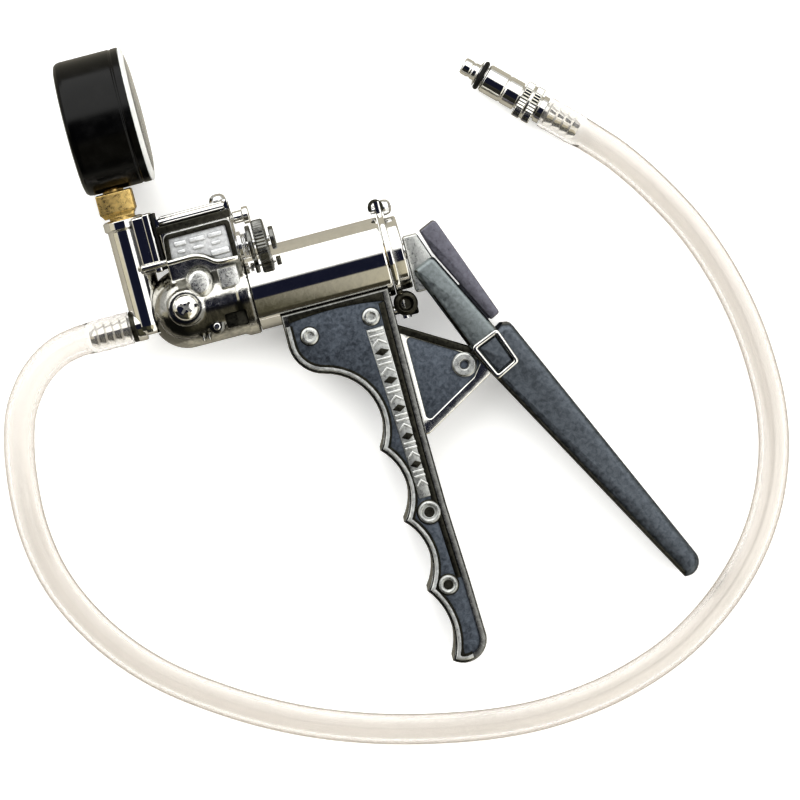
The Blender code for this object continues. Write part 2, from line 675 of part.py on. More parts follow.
def grip_outline():
    """Four finger hollows at the front, a straight back and a rounded end."""
    points = [(40.9, -9.3), (6.8, -9.3), (6.8, -19.7)]
    points += arc((6.8, -19.7), (9.4, -26.2), (15.4, -29.9), 5)
    points += arc((15.4, -29.9), (28.0, -41.5), (25.9, -57.0), 8)
    points += arc((25.9, -57.0), (31.1, -68.2), (27.4, -80.1), 7)
    points += arc((27.4, -80.1), (32.6, -91.5), (29.0, -102.6), 7)
    points += arc((29.0, -102.6), (33.5, -114.0), (31.1, -125.4), 7)
    points += arc((31.1, -125.4), (37.6, LOWEST_Y), (43.1, -120.1), 6)
    points += [(42.5, -102.3), (41.3, -77.6), (40.9, -56.0)]
    return points


GRIP_HOLLOWS = (
    [(11.5, -22.0), (37.2, -22.0), (37.4, -55.5), (30.6, -55.5), (31.6, -42.0), (27.0, -33.0), (14.0, -26.5)],
    [(34.0, -58.5), (37.8, -58.5), (39.0, -117.0), (36.2, -117.0)],
)
UPPER_RIVETS = ((13.9, -17.6), (33.6, -16.6))
LOWER_RIVETS = ((35.7, -79.2), (35.7, -102.3))


def build_grip():
    """Two shells that cradle the cylinder, riveted together."""
    outline = grip_outline()
    for side, name in ((1, "grip_half_near"), (-1, "grip_half_far")):
        low, high = sorted((side * THIN, side * GRIP_HALF))
        half = slab(name, outline, low, high, "satin_steel")
        panel_low, panel_high = sorted((side * (GRIP_HALF - 0.9), side * (GRIP_HALF + 1)))
        panel = slab(f"panel_{name}", inset(outline, 2.3), panel_low, panel_high)
        trim = box(f"trim_{name}", (0, -13.3, panel_low - 1), (50, 0, panel_high + 1))
        cut(panel, trim)
        pad_low, pad_high = sorted((side * (GRIP_HALF - 1.5), side * (GRIP_HALF - 0.35)))
        pad = slab(f"pad_{name}", [(30.6, -21.6), (37.4, -21.6), (39.4, -73.0), (33.2, -73.0)], pad_low, pad_high)
        cut(half, panel)
        join(half, pad)
        cavity_low, cavity_high = sorted((-side, side * 6.5))
        for number, hollow in enumerate(GRIP_HOLLOWS):
            cavity = slab(f"cavity_{name}_{number}", hollow, cavity_low, cavity_high)
            cut(half, cavity)
        for number, (x, y) in enumerate(UPPER_RIVETS + LOWER_RIVETS):
            radius = (3.1, 2.8, 4.0, 3.4)[number]
            boss_low, boss_high = sorted((side * 0.5, side * (GRIP_HALF - 0.5)))
            boss = rod(f"boss_{name}_{number}", radius, (x, y, boss_low), (x, y, boss_high), sides=20)
            join(half, boss)
        for number, (x, y) in enumerate(UPPER_RIVETS + LOWER_RIVETS):
            hole = rod(f"hole_{name}_{number}", 1.8, (x, y, -11), (x, y, 11), sides=16)
            cut(half, hole)
        bracket_room = box(f"bracket_room_{name}", (36.8, -57.0, -5.2), (44, -20.2, 5.2))
        saddle = rod(f"saddle_{name}", TUBE_OUTER + GAP, (0, 0, 0), (50, 0, 0), sides=48)
        screw_room = rod(f"screw_room_{name}", 1.7, (36.9, -17, 0), (46, -17, 0), sides=16)
        cut(half, bracket_room, saddle, screw_room)

    for number, (x, y) in enumerate(UPPER_RIVETS):
        solid = [(0, 9.9), (2.2, 9.9), (2.6, 9.3), (1.5, 9.3), (1.5, -9.3), (2.6, -9.3), (2.2, -9.9), (0, -9.9)]
        turned(f"upper_rivet_{number + 1}", solid, (x, y, 0), (0, 0, 1), "bright_steel", 16)
    for number, (x, y) in enumerate(LOWER_RIVETS):
        head = (3.5, 3.0)[number]
        tubular = [(head - 0.2, 9.9), (head, 9.3), (1.5, 9.3), (1.5, -9.3), (head, -9.3), (head - 0.2, -9.9)]
        tubular += [(0.8, -9.9), (0.8, 9.9)]
        turned(f"lower_rivet_{number + 1}", tubular, (x, y, 0), (0, 0, 1), "bright_steel", 16, True)


def build_bracket():
    """Forked bracket that carries the lever's pivot behind the grip."""
    outline = rounded(
        [(37.2, -20.6), (40.7, -21.6), (69.6, -38.9), (64.9, -43.0), (42.2, -56.1), (37.2, -56.6)],
        [0, 0, 1.6, 2.0, 0, 0],
    )
    bracket = slab("pivot_bracket", outline, -4.9, 4.9, "satin_steel")
    fork = box("fork_gap", (47.5, -60, -2.8), (75, -15, 2.8))
    near_panel = slab("bracket_panel_near", [(43.2, -26.4), (54.0, -32.8), (54.0, -45.6), (43.2, -51.8)], 4.2, 6)
    far_panel = slab("bracket_panel_far", [(43.2, -26.4), (54.0, -32.8), (54.0, -45.6), (43.2, -51.8)], -6, -4.2)
    pivot_hole = rod("pivot_hole", 2.6, (*PIVOT, -8), (*PIVOT, 8), sides=24)
    cut(bracket, fork, near_panel, far_panel, pivot_hole)
    profile = [(1.2, 6.6), (3.4, 6.6), (3.85, 6.2), (3.85, 5.2), (2.3, 5.2), (2.3, -5.2), (3.85, -5.2)]
    profile += [(3.85, -6.2), (3.4, -6.6), (1.2, -6.6)]
    turned("pivot_pin", profile, (*PIVOT, 0), (0, 0, 1), "bright_steel", 16, True)


# ---------------------------------------------------------------- lever

CHEEK_IN, CHEEK_OUT = 5.2, 7.2


def build_lever():
    """Upper cheeks and spine, and the lower channel that the hand squeezes."""
    outline = rounded(
        [(49.3, -6.2), (56.6, -3.3), (68.4, -26.9), (73.0, -36.5), (73.4, -44.8), (66.4, -44.8), (60.3, -33.2)],
        [1.2, 0.8, 0, 1.0, 1.5, 1.0, 0],
        3,
    )
    window = [(62.6, -34.1), (69.2, -31.4), (72.6, -40.6), (66.9, -43.4)]
    for side, name in ((1, "lever_cheek_near"), (-1, "lever_cheek_far")):
        low, high = sorted((side * CHEEK_IN, side * CHEEK_OUT))
        cheek = slab(name, outline, low, high, "satin_steel")
        tenon_low, tenon_high = sorted((side * (CHEEK_OUT - 0.5), side * (LEVER_HALF - 0.7)))
        tenon = slab(f"tenon_{name}", inset(window, 0.35), tenon_low, tenon_high)
        join(cheek, tenon)
        slot_low, slot_high = sorted((side * (CHEEK_IN - 1), side * 6.4))
        slot = slab(
            f"slot_{name}", rounded([(50.5, -7.6), (54.6, -7.0), (56.0, -13.2), (51.9, -14.0)], 1.2), slot_low, slot_high
        )
        cut(cheek, slot)

    strap = [(54.6, 4.9), (60.0, 7.3), (72.1, -25.4), (68.9, -26.9)]
    spine = slab("lever_spine", rounded(strap, [0.6, 1.2, 0.8, 0.4], 3), -7.2, 7.2, "satin_steel")
    tongue = slab("spine_tongue", [(60.2, -15.0), (63.8, -14.0), (69.4, -26.0), (65.6, -27.6)], -4.9, 4.9)
    join(spine, tongue)

    lever = [(59.9, -33.9), (68.9, -30.6), (71.6, -29.0), (74.6, -29.4), (111.9, -112.4)]
    lever += arc((111.9, -112.4), (110.9, -117.3), (106.7, -118.5), 4)
    handle = slab("lever_handle", lever, -LEVER_HALF, LEVER_HALF, "satin_steel")
    round_edges(handle, 1.0, 50.0)
    hollow = [(50.0, -30.0), (58.0, -20.0), (71.8, -26.0), (72.6, -33.2), (106.4, -108.6), (100.0, -118.0), (90, -110)]
    channel = slab("lever_channel", hollow, -7.5, 7.5)
    open_window = slab("lever_window", window, -12, 12)
    cut(handle, channel)
    lug = slab(
        "lever_lug",
        circle(PIVOT, 4.4, 24),
        -2.5,
        2.5,
    )
    arm = slab("lug_arm", [(57.0, -34.0), (74.0, -36.0), (78.0, -45.0), (58.5, -42.5)], -2.5, 2.5)
    join(handle, lug, arm)
    pivot_bore = rod("lug_bore", 2.6, (*PIVOT, -5), (*PIVOT, 5), sides=24)
    cut(handle, open_window, pivot_bore)


# ---------------------------------------------------------------- hose


def build_hose():
    first, last = (on_table(*point) for point in HOSE_ENDS)
    middle = spline([on_table(*point) for point in HOSE_ROUTE], HOSE_STEP)
    pipe("hose", [first, *middle, last], HOSE_RADIUS, "clear", 3, parent=False)
    ring(
        "inlet_sleeve",
        HOSE_BORE_OVER_BARB,
        SLEEVE_RADIUS,
        (-38.9, BARB_Y, 0),
        (-52.2, BARB_Y, 0),
        "clear",
        24,
    )


def build_coupling():
    """Plug with an O-ring near its tip, a knurled ring and a barb inside the hose."""
    tip = Vector(on_table(*COUPLING_TIP, COLLAR_RADIUS))
    end = Vector(on_table(*COUPLING_END, COLLAR_RADIUS))
    direction = (end - tip).normalized()
    profile = [(2.9, 41.0)]
    for ridge in range(4):
        back = 41.0 - 2.7 * (ridge + 1)
        profile += [(3.9, back + 0.3), (3.1, back)]
    profile += [(3.1, 28.9), (4.4, 28.9), (4.4, 27.0), (3.8, 27.0), (3.8, 19.9), (4.6, 19.9)]
    profile += [(4.6, 8.3), (4.2, 7.9), (4.2, 7.7), (3.2, 7.7), (3.2, 5.5), (4.2, 5.5), (4.2, 5.3)]
    profile += [(2.6, 4.9), (2.6, 0.5), (2.2, 0.0), (1.6, 0.0), (1.6, 41.0)]
    turned("coupling_body", profile, tip, direction, "nickel", 16, True, parent=False)
    knurl = [(COLLAR_RADIUS, 26.4), (COLLAR_RADIUS, 20.5), (4.1, 20.5), (4.1, 26.4)]
    turned("coupling_collar", knurl, tip, direction, "bright_steel", 32, True, parent=False)
    seal = [(4.3, 7.3), (4.6, 6.6), (4.3, 5.9), (3.5, 5.9), (3.5, 7.3)]
    turned("coupling_o_ring", seal, tip, direction, "rubber", 16, True, parent=False)
    start = tip + direction * 29.3
    finish_point = tip + direction * 41.7
    ring("outlet_sleeve", HOSE_BORE_OVER_BARB, SLEEVE_RADIUS, start, finish_point, "clear", 24, parent=False)


# ---------------------------------------------------------------- the model


def build():
    for leftover in list(bpy.data.objects):
        bpy.data.objects.remove(leftover)
    for title in ("hand_vacuum_pump", "cutters"):
        bpy.context.scene.collection.children.link(bpy.data.collections.new(title))
    frame = bpy.data.objects.new("pump_frame", None)
    bpy.context.scene.collection.objects.link(frame)
    frame.location = metres((-CENTRE_X, -CENTRE_Y, LIFT))
    frame.rotation_euler = (TILT, 0.0, 0.0)

    build_head_casting()
    build_inlet_valve()
    build_manifold()
    build_cover()
    build_release()
    build_barb()
    build_gauge()
    build_cylinder()
    build_piston()
    build_grip()
    build_bracket()
    build_lever()
    build_hose()
    build_coupling()


build()
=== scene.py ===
"""Looks of the hand vacuum pump.

Lengths are in millimetres in the pump's own flat frame: X runs back along the cylinder, Y runs up
towards the gauge and Z points out of the near side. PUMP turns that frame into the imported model's.
"""

import json
import math

import bmesh
import bpy
from mathutils import Matrix, Vector
from mathutils.geometry import tessellate_polygon


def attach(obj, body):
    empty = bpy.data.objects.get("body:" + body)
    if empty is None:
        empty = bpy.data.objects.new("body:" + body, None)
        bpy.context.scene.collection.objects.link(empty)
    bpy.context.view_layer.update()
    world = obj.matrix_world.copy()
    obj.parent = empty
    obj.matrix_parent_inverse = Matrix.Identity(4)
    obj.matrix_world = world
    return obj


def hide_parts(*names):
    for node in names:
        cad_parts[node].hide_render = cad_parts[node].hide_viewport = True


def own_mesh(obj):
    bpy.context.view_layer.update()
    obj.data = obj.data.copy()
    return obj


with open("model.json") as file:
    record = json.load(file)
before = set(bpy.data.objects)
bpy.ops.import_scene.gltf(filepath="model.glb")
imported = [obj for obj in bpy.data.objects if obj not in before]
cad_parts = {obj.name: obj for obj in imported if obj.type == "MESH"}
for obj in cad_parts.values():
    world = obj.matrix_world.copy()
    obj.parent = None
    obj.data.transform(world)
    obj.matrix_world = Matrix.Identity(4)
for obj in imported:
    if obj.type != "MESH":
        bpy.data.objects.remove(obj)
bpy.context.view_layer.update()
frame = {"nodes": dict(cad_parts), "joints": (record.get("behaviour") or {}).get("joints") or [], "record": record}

MM = 0.001
BODY = "pump_body"
SIDES = ((1, "near"), (-1, "far"))
ORIGIN = (0.0, 0.0, 0.0)
BACK, UP, OUT = (1.0, 0.0, 0.0), (0.0, 1.0, 0.0), (0.0, 0.0, 1.0)

# Driving dimensions, as in the CAD part
GAUGE_X, GAUGE_Y = -33.3, 61.8
TUBE_RADIUS = 12.4
TUBE_FRONT, TUBE_BACK = 0.3, 42.8
POST_X, POST_RADIUS = -32.6, 5.6
BARB_X, BARB_Y = -36.0, -1.4
GRIP_HALF = 9.5
LEVER_HALF = 10.0
PIVOT = (57.6, -38.2)
ROD_PIN = (53.3, -10.5)
RELEASE_AXIS = (0.0, 14.6, 12.6)
VALVE_SCREW, DOWEL = (-20.3, 0.6), (-12.6, -7.4)
GRIP_BOLT = (45.0, -17.0, 0.0)
PLUG_Y = 23.2
LOWEST_Y = -126.9
CENTRE_X, CENTRE_Y = 30.24, -22.36

HOSE_RADIUS, HOSE_BORE = 4.75, 3.2
WIDE_BORE, WIDE_BORE_LENGTH = 4.15, 13.2
INLET_SLEEVE, OUTLET_SLEEVE = 12.8, 12.0
BARB_HEIGHT = 17.2
COUPLING_HEIGHT = 6.0
COUPLING_TIP = (81.0, 51.7)
COUPLING_END = (111.0, 22.3)
HOSE_ROUTE = [
    (-38.9, -1.4, BARB_HEIGHT),
    (-46.0, -1.4, BARB_HEIGHT),
    (-52.7, -1.4, BARB_HEIGHT),
    (-55.5, -1.5, 17.2),
    (-61.6, -2.7, 16.9),
    (-68.2, -6.0, 15.9),
    (-74.4, -11.8, 14.0),
    (-79.8, -20.8, 11.2),
    (-83.6, -35.8, 7.6),
    (-84.7, -54.5, 5.2),
    (-81.2, -73.0, 4.8),
    (-72.0, -91.2, 4.8),
    (-58.6, -106.9, 4.8),
    (-41.0, -120.3, 4.8),
    (-22.0, -131.2, 4.8),
    (-2.0, -139.4, 4.8),
    (18.8, -145.2, 4.8),
    (40.0, -148.9, 4.8),
    (59.0, -149.6, 4.8),
    (79.0, -147.0, 4.8),
    (98.5, -140.6, 4.8),
    (115.0, -130.6, 4.8),
    (127.9, -118.6, 4.8),
    (137.2, -105.4, 4.8),
    (143.4, -91.0, 4.8),
    (146.6, -76.3, 4.8),
    (147.1, -61.0, 4.8),
    (145.7, -45.6, 4.8),
    (142.3, -30.2, 4.8),
    (136.8, -14.9, 4.8),
    (128.9, -0.2, 5.0),
    (120.6, 11.9, 5.6),
    (113.4, 19.9, COUPLING_HEIGHT),
    (111.15, 22.15, COUPLING_HEIGHT),
    (107.0, 26.2, COUPLING_HEIGHT),
    (101.9, 31.2, COUPLING_HEIGHT),
]

# The camera looks straight down
VIEW_MIDDLE = (35.7, -44.1)
VIEW_HEIGHT = 1.347
VIEW_TURN = -14.7
VIEW_LENS = 194.3


def metres(point):
    return Vector(point) * MM


def pump_frame():
    """The pump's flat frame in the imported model, from the lever's hinge."""
    hinge = next(joint for joint in frame["joints"] if joint["name"] == "lever_squeeze")
    out = -Vector(hinge["axis"]).normalized()
    back = Vector((1.0, 0.0, 0.0))
    turn = Matrix((back, out.cross(back), out)).transposed().to_4x4()
    return Matrix.Translation(hinge["pos_m"]) @ turn @ Matrix.Translation(-metres((*PIVOT, 0.0)))


PUMP = pump_frame()
TABLE = Matrix.Identity(4)


# ---------------------------------------------------------------- materials


class Shader:
    """A material with short calls for the nodes that are used here."""

    def __init__(self, name):
        self.material = bpy.data.materials.new(name)
        self.material.use_nodes = True
        self.tree = self.material.node_tree
        self.surface = self.tree.nodes["Principled BSDF"]
        self.place = self.node("ShaderNodeTexCoord").outputs["Object"]

    def node(self, kind, **settings):
        made = self.tree.nodes.new(kind)
        for key, value in settings.items():
            setattr(made, key, value)
        return made

    def feed(self, socket, value):
        """Links a socket's value, or sets a plain one."""
        if isinstance(value, bpy.types.NodeSocket):
            self.tree.links.new(value, socket)
        elif isinstance(value, tuple) and len(value) == 3 and socket.type == "RGBA":
            socket.default_value = (*value, 1.0)
        else:
            socket.default_value = value

    def put(self, **values):
        """Sets inputs of the main shader, with _ for a space in a name."""
        for key, value in values.items():
            self.feed(self.surface.inputs[key.replace("_", " ")], value)

    def spread(self, turn=0.0, stretch=(1.0, 1.0, 1.0)):
        """Object coordinates turned about Z and stretched, for a grain with a direction."""
        turned_place = self.node("ShaderNodeVectorRotate", rotation_type="Z_AXIS")
        self.feed(turned_place.inputs["Vector"], self.place)
        turned_place.inputs["Angle"].default_value = math.radians(turn)
        mapping = self.node("ShaderNodeMapping")
        self.feed(mapping.inputs["Vector"], turned_place.outputs["Vector"])
        mapping.inputs["Scale"].default_value = stretch
        return mapping.outputs["Vector"]

    def noise(self, size, detail=4.0, roughness=0.55, place=None, distortion=0.0):
        """Noise with patches of about that size in millimetres."""
        made = self.node("ShaderNodeTexNoise")
        self.feed(made.inputs["Vector"], place or self.place)
        made.inputs["Scale"].default_value = 1.0 / (size * MM)
        made.inputs["Detail"].default_value = detail
        made.inputs["Roughness"].default_value = roughness
        made.inputs["Distortion"].default_value = distortion
        return made.outputs["Fac"]

    def ramp(self, source, *stops):
        """Value to colour or grey; a stop is (position, value)."""
        made = self.node("ShaderNodeValToRGB")
        self.feed(made.inputs["Fac"], source)
        ends = made.color_ramp.elements
        while len(ends) < len(stops):
            ends.new(0.5)
        for end, (position, value) in zip(ends, stops):
            end.position = position
            end.color = (*value, 1.0) if isinstance(value, tuple) else (value, value, value, 1.0)
        return made.outputs["Color"]

    def sum(self, operation, first, second, third=None):
        made = self.node("ShaderNodeMath", operation=operation)
        for socket, value in zip(made.inputs, (first, second, third)):
            if value is not None:
                self.feed(socket, value)
        return made.outputs["Value"]

    def mix(self, share, first, second):
        made = self.node("ShaderNodeMix", data_type="RGBA")
        self.feed(made.inputs["Factor"], share)
        self.feed(made.inputs["A"], first)
        self.feed(made.inputs["B"], second)
        return made.outputs["Result"]

    def blend(self, share, first, second):
        """A share of the second shader in the first."""
        made = self.node("ShaderNodeMixShader")
        self.feed(made.inputs["Fac"], share)
        self.feed(made.inputs[1], first)
        self.feed(made.inputs[2], second)
        return made.outputs[0]

    def show(self, shader_socket):
        """Makes a shader the material's surface."""
        self.feed(self.tree.nodes["Material Output"].inputs["Surface"], shader_socket)

    def hollow(self, reach=2.5):
        """1 on open faces and less in corners and recesses."""
        made = self.node("ShaderNodeAmbientOcclusion", samples=4, only_local=True)
        made.inputs["Distance"].default_value = reach * MM
        return made.outputs["AO"]

    def bump(self, height, depth, before=None):
        made = self.node("ShaderNodeBump")
        made.inputs["Distance"].default_value = depth * MM
        self.feed(made.inputs["Height"], height)
        if before is not None:
            self.feed(made.inputs["Normal"], before)
        return made.outputs["Normal"]


DARKENED_TONE = 0.28
CORNER_ROUGHNESS = (0.55, 0.55, 0.55)
PLASTIC_IOR = 1.42
PALE_SHADOW = (0.985, 0.985, 0.98)
HOSE_DENSITY = 165.0
BRUSHED = (5.0, 0.7, 1.0)
BAND_HEIGHT = 12.0 * MM
NOSE_LENGTH = 14.0 * MM


def shaded_band_and_dark_nose(shader):
    """1 on a band of painted shade under the head's middle line, and half of that on its nose, to make the nose
    darker.
    """
    inverse = PUMP.inverted()
    mapping = shader.node("ShaderNodeMapping")
    shader.feed(mapping.inputs["Vector"], shader.place)
    mapping.inputs["Location"].default_value = inverse.translation
    mapping.inputs["Rotation"].default_value = inverse.to_euler()
    parts = shader.node("ShaderNodeSeparateXYZ")
    shader.feed(parts.inputs["Vector"], mapping.outputs["Vector"])
    wander = shader.sum("MULTIPLY_ADD", shader.noise(2.5), 3.0 * MM, parts.outputs["Y"])
    height = shader.sum("MULTIPLY_ADD", wander, 1.0 / BAND_HEIGHT, 0.87)
    band = shader.ramp(height, (0.12, 0.0), (0.22, 1.0), (0.86, 1.0), (0.93, 0.0))
    ahead = shader.sum("MULTIPLY_ADD", parts.outputs["X"], -1.0 / NOSE_LENGTH, -1.3)
    nose = shader.ramp(ahead, (0.1, 0.0), (0.45, 0.5))
    return shader.sum("MAXIMUM", band, nose)


def metal(
    name, colour, roughness, mottle, grain, corner_shade, turn=0.0, stretch=None, dark=0.25, patch=2.6, darkening=None
):
    """Metal with patches, fine scratches, a little orange peel and painted shade that darkens its corners.

    Mottle is how far the patches differ, grain the scratches' depth, dark the tone of the painted shade in the
    corners, patch the size of the patches, and the last argument a function that gives where the metal is made
    darker."""
    shader = Shader(name)
    place = shader.spread(turn, stretch) if stretch else shader.place
    patches = shader.noise(patch, 5.0, 0.6, shader.place, 0.6)
    scratches = shader.noise(0.35, 3.0, 0.6, place)
    deep = tuple(channel * (1.0 - mottle) for channel in colour)
    pale = tuple(min(1.0, channel * (1.0 + mottle)) for channel in colour)
    tint = shader.ramp(patches, (0.36, deep), (0.5, colour), (0.66, pale))
    # Painted darkening from the given function, such as painted shade on the head.
    if darkening:
        darkened = tuple(channel * DARKENED_TONE for channel in colour)
        tint = shader.mix(darkening(shader), tint, darkened)
    # Painted shade: the colour turns darker where ambient occlusion finds corners and recesses.
    corners = shader.ramp(shader.hollow(), (0.25, 1.0), (0.8, 0.0))
    corner_shade_colour = tuple(channel * dark for channel in colour)
    shader.put(Base_Color=shader.mix(shader.sum("MULTIPLY", corners, corner_shade), tint, corner_shade_colour))
    rough = shader.ramp(patches, (0.3, roughness * 0.75), (0.7, roughness * 1.3))
    fine = shader.ramp(scratches, (0.42, 0.0), (0.7, 0.35))
    rough = shader.mix(fine, rough, (roughness * 1.8, roughness * 1.8, roughness * 1.8))
    shader.put(Metallic=1.0, Roughness=shader.mix(corners, rough, CORNER_ROUGHNESS))
    peel = shader.bump(shader.noise(1.7, 2.0), grain * 2.0)
    shader.put(Normal=shader.bump(scratches, grain, peel))
    return shader.material


def moulded(name, colour, roughness, grain=0.01, shine=0.5):
    """Plastic, rubber or paint with a fine grain and slight wear."""
    shader = Shader(name)
    patches = shader.noise(4.0, 4.0)
    fine = shader.noise(0.25, 3.0)
    worn = tuple(min(1.0, channel * 1.3 + 0.002) for channel in colour)
    shader.put(Base_Color=shader.ramp(patches, (0.45, colour), (0.75, worn)))
    shader.put(Roughness=shader.ramp(patches, (0.3, roughness * 0.8), (0.7, roughness * 1.25)))
    shader.put(Normal=shader.bump(fine, grain), Specular_IOR_Level=shine)
    return shader.material


def clear(name, colour, cloud, roughness=0.03, tint=None):
    """Clear plastic that lets light through to what is behind it; cloud is its milkiness."""
    shader = Shader(name)
    wisps = shader.noise(5.0, 3.0)
    shader.put(Base_Color=colour, Transmission_Weight=1.0, IOR=PLASTIC_IOR)
    shader.put(Roughness=shader.ramp(wisps, (0.3, roughness), (0.7, roughness * 2.5)))
    shader.put(Normal=shader.bump(shader.noise(6.0, 2.0), 0.02))
    milk = shader.node("ShaderNodeBsdfTranslucent")
    shader.feed(milk.inputs["Color"], colour)
    haze = shader.node("ShaderNodeBsdfDiffuse")
    shader.feed(haze.inputs["Color"], colour)
    body = shader.blend(0.5, milk.outputs[0], haze.outputs[0])
    share = shader.ramp(wisps, (0.3, cloud * 0.9), (0.7, cloud * 1.1))
    cloudy = shader.blend(share, shader.surface.outputs[0], body)
    through = shader.node("ShaderNodeBsdfTransparent")
    shader.feed(through.inputs["Color"], PALE_SHADOW)
    path = shader.node("ShaderNodeLightPath")
    shader.show(shader.blend(path.outputs["Is Shadow Ray"], cloudy, through.outputs[0]))
    if tint:
        depth = shader.node("ShaderNodeVolumeAbsorption")
        shader.feed(depth.inputs["Color"], tint)
        shader.feed(depth.inputs["Density"], HOSE_DENSITY)
        shader.feed(shader.tree.nodes["Material Output"].inputs["Volume"], depth.outputs[0])
    return shader.material


NICKEL = metal("nickel_plate", (0.84, 0.83, 0.80), 0.06, 0.04, 0.0012, 0.8)
# Cast nickel with a band of painted shade under the head's middle line and a darker nose.
CAST_NICKEL = metal(
    "cast_nickel", (0.70, 0.69, 0.64), 0.13, 0.26, 0.012, 0.95, dark=0.06, patch=1.7, darkening=shaded_band_and_dark_nose
)
CAST_SATIN = metal("cast_satin", (0.80, 0.80, 0.77), 0.27, 0.2, 0.03, 0.9, dark=0.1, patch=0.9)
CHROME_RIM = metal("polished_rim", (0.84, 0.83, 0.78), 0.12, 0.1, 0.003, 0.8, dark=0.12)
PALE_SATIN = metal("pale_satin", (0.62, 0.63, 0.61), 0.30, 0.16, 0.02, 0.9, dark=0.1, patch=1.0)
BEAD = metal("pale_bead", (0.84, 0.85, 0.83), 0.34, 0.1, 0.02, 0.7, patch=1.0)
FACE = metal("housing_face", (0.86, 0.87, 0.88), 0.46, 0.14, 0.02, 0.6, patch=1.1)
PANEL = metal("grip_panel", (0.125, 0.143, 0.170), 0.38, 0.30, 0.03, 0.8, dark=0.2, patch=1.2)
CHEEK = metal("cheek_satin", (0.245, 0.272, 0.278), 0.34, 0.16, 0.01, 0.8, 24.0, BRUSHED, 0.15, 1.2)
LEVER = metal("lever_satin", (0.118, 0.132, 0.150), 0.36, 0.28, 0.012, 0.8, 24.0, BRUSHED, 0.15, 1.4)
STRAP = metal("strap_satin", (0.185, 0.183, 0.215), 0.34, 0.16, 0.01, 0.8, 22.0, BRUSHED, 0.15, 1.2)
# Dark steel for the dark parts; it is also the colour of the painted shade and shadows on the head, cover,
# housing, grip, bracket, cheeks, lever and rear flange.
DARK_STEEL_AND_SHADE = metal("dark_steel_and_painted_shade", (0.05, 0.048, 0.038), 0.30, 0.3, 0.01, 0.6, patch=1.2)
DARK_CHROME = metal("dark_chrome", (0.20, 0.20, 0.19), 0.20, 0.25, 0.004, 0.8, dark=0.1, patch=1.5)
STEEL = metal("bright_steel", (0.74, 0.74, 0.74), 0.13, 0.06, 0.002, 0.8, dark=0.12)
BRASS = metal("brass", (0.76, 0.55, 0.22), 0.28, 0.18, 0.006, 0.5, dark=0.2, patch=1.4)
BLACK = moulded("gloss_black", (0.001, 0.001, 0.001), 0.20, 0.001, 0.26)
RUBBER = moulded("black_rubber", (0.006, 0.006, 0.006), 0.45, 0.02, 0.2)
WHITE = moulded("dial_white", (0.82, 0.82, 0.80), 0.5, 0.002)
INK = moulded("dial_black", (0.01, 0.01, 0.01), 0.5, 0.002)
HOSE = clear("clear_hose", (0.98, 0.975, 0.965), 0.035, 0.03, (0.50, 0.435, 0.37))
LENS = clear("clear_lens", (0.98, 0.98, 0.97), 0.03)
LENS_RIM = clear("frosted_rim", (0.98, 0.98, 0.97), 0.7, 0.1)

NODE_LOOKS = {
    BRASS: ("bourdon_tube", "movement_frame", "pinion_shaft", "sector_gear", "rod_bush"),
    RUBBER: ("head_o_ring", "inlet_valve_disc", "manifold_gasket", "piston_seal"),
    STEEL: ("inlet_valve_spring", "piston", "piston_nut"),
}


# ---------------------------------------------------------------- shapes, in millimetres


def along(direction):
    """Rotation that turns +Z to a direction."""
    return Vector(direction).to_track_quat("Z", "Y").to_matrix().to_4x4()


def outward(bm):
    """Turns the faces of one closed shape to look out of it."""
    bmesh.ops.recalc_face_normals(bm, faces=bm.faces)
    if bm.calc_volume(signed=True) < 0.0:
        bmesh.ops.reverse_faces(bm, faces=bm.faces)


def lathe(profile, origin, direction, steps=72, closed=False, teeth=None):
    """Turned shape: profile is (radius, distance). A closed profile is a ring; an open one starts and
    ends on the axis. Teeth are (count, depth, least radius that is cut)."""
    bm = bmesh.new()
    if teeth:
        steps = teeth[0] * 6
    rings = []
    for radius, distance in profile:
        if radius < 1e-6:
            rings.append([bm.verts.new((0.0, 0.0, distance))])
            continue
        loop = []
        for step in range(steps):
            angle = 2 * math.pi * step / steps
            reach = radius
            if teeth and radius >= teeth[2]:
                reach -= teeth[1] * (0.5 - 0.5 * math.cos(teeth[0] * angle))
            loop.append(bm.verts.new((reach * math.cos(angle), reach * math.sin(angle), distance)))
        rings.append(loop)
    pairs = list(zip(rings, rings[1:]))
    if closed:
        pairs.append((rings[-1], rings[0]))
    for first, second in pairs:
        bridge(bm, first, second)
    smooth_but_ends(bm)
    bm.transform(Matrix.Translation(origin) @ along(direction))
    outward(bm)
    return bm


def smooth_but_ends(bm):
    """Smooth shading everywhere but on faces square to the shape's own axis."""
    bm.normal_update()
    for face in bm.faces:
        face.smooth = abs(face.normal.z) < 0.9999


def bridge(bm, first, second):
    """Faces between two loops, or between a loop and a single point."""
    count = max(len(first), len(second))
    if count == 1:
        return
    for step in range(count):
        after = (step + 1) % count
        if len(first) == 1:
            bm.faces.new((first[0], second[after], second[step]))
        elif len(second) == 1:
            bm.faces.new((first[step], first[after], second[0]))
        else:
            bm.faces.new((first[step], first[after], second[after], second[step]))


def soften(profile, radius=0.25, closed=False, count=3):
    """Small rounds on the corners of a turned profile."""
    result = []
    last = len(profile) - 1
    for index, point in enumerate(profile):
        if not closed and index in (0, last):
            result.append(point)
            continue
        here = Vector(point)
        before = Vector(profile[index - 1]) - here
        after = Vector(profile[(index + 1) % len(profile)]) - here
        reach = min(radius, before.length * 0.45, after.length * 0.45)
        start = here + before.normalized() * reach
        end = here + after.normalized() * reach
        result.append(tuple(here + before.normalized() * reach * 1.08))
        for step in range(count + 1):
            t = step / count
            result.append(tuple(start.lerp(here, t).lerp(here.lerp(end, t), t)))
        result.append(tuple(here + after.normalized() * reach * 1.08))
    return result


def turned(profile, origin, direction, steps=72, closed=False, teeth=None, edge=0.2):
    """A turned shape with softened corners."""
    return lathe(soften(profile, edge, closed), origin, direction, steps, closed, teeth)


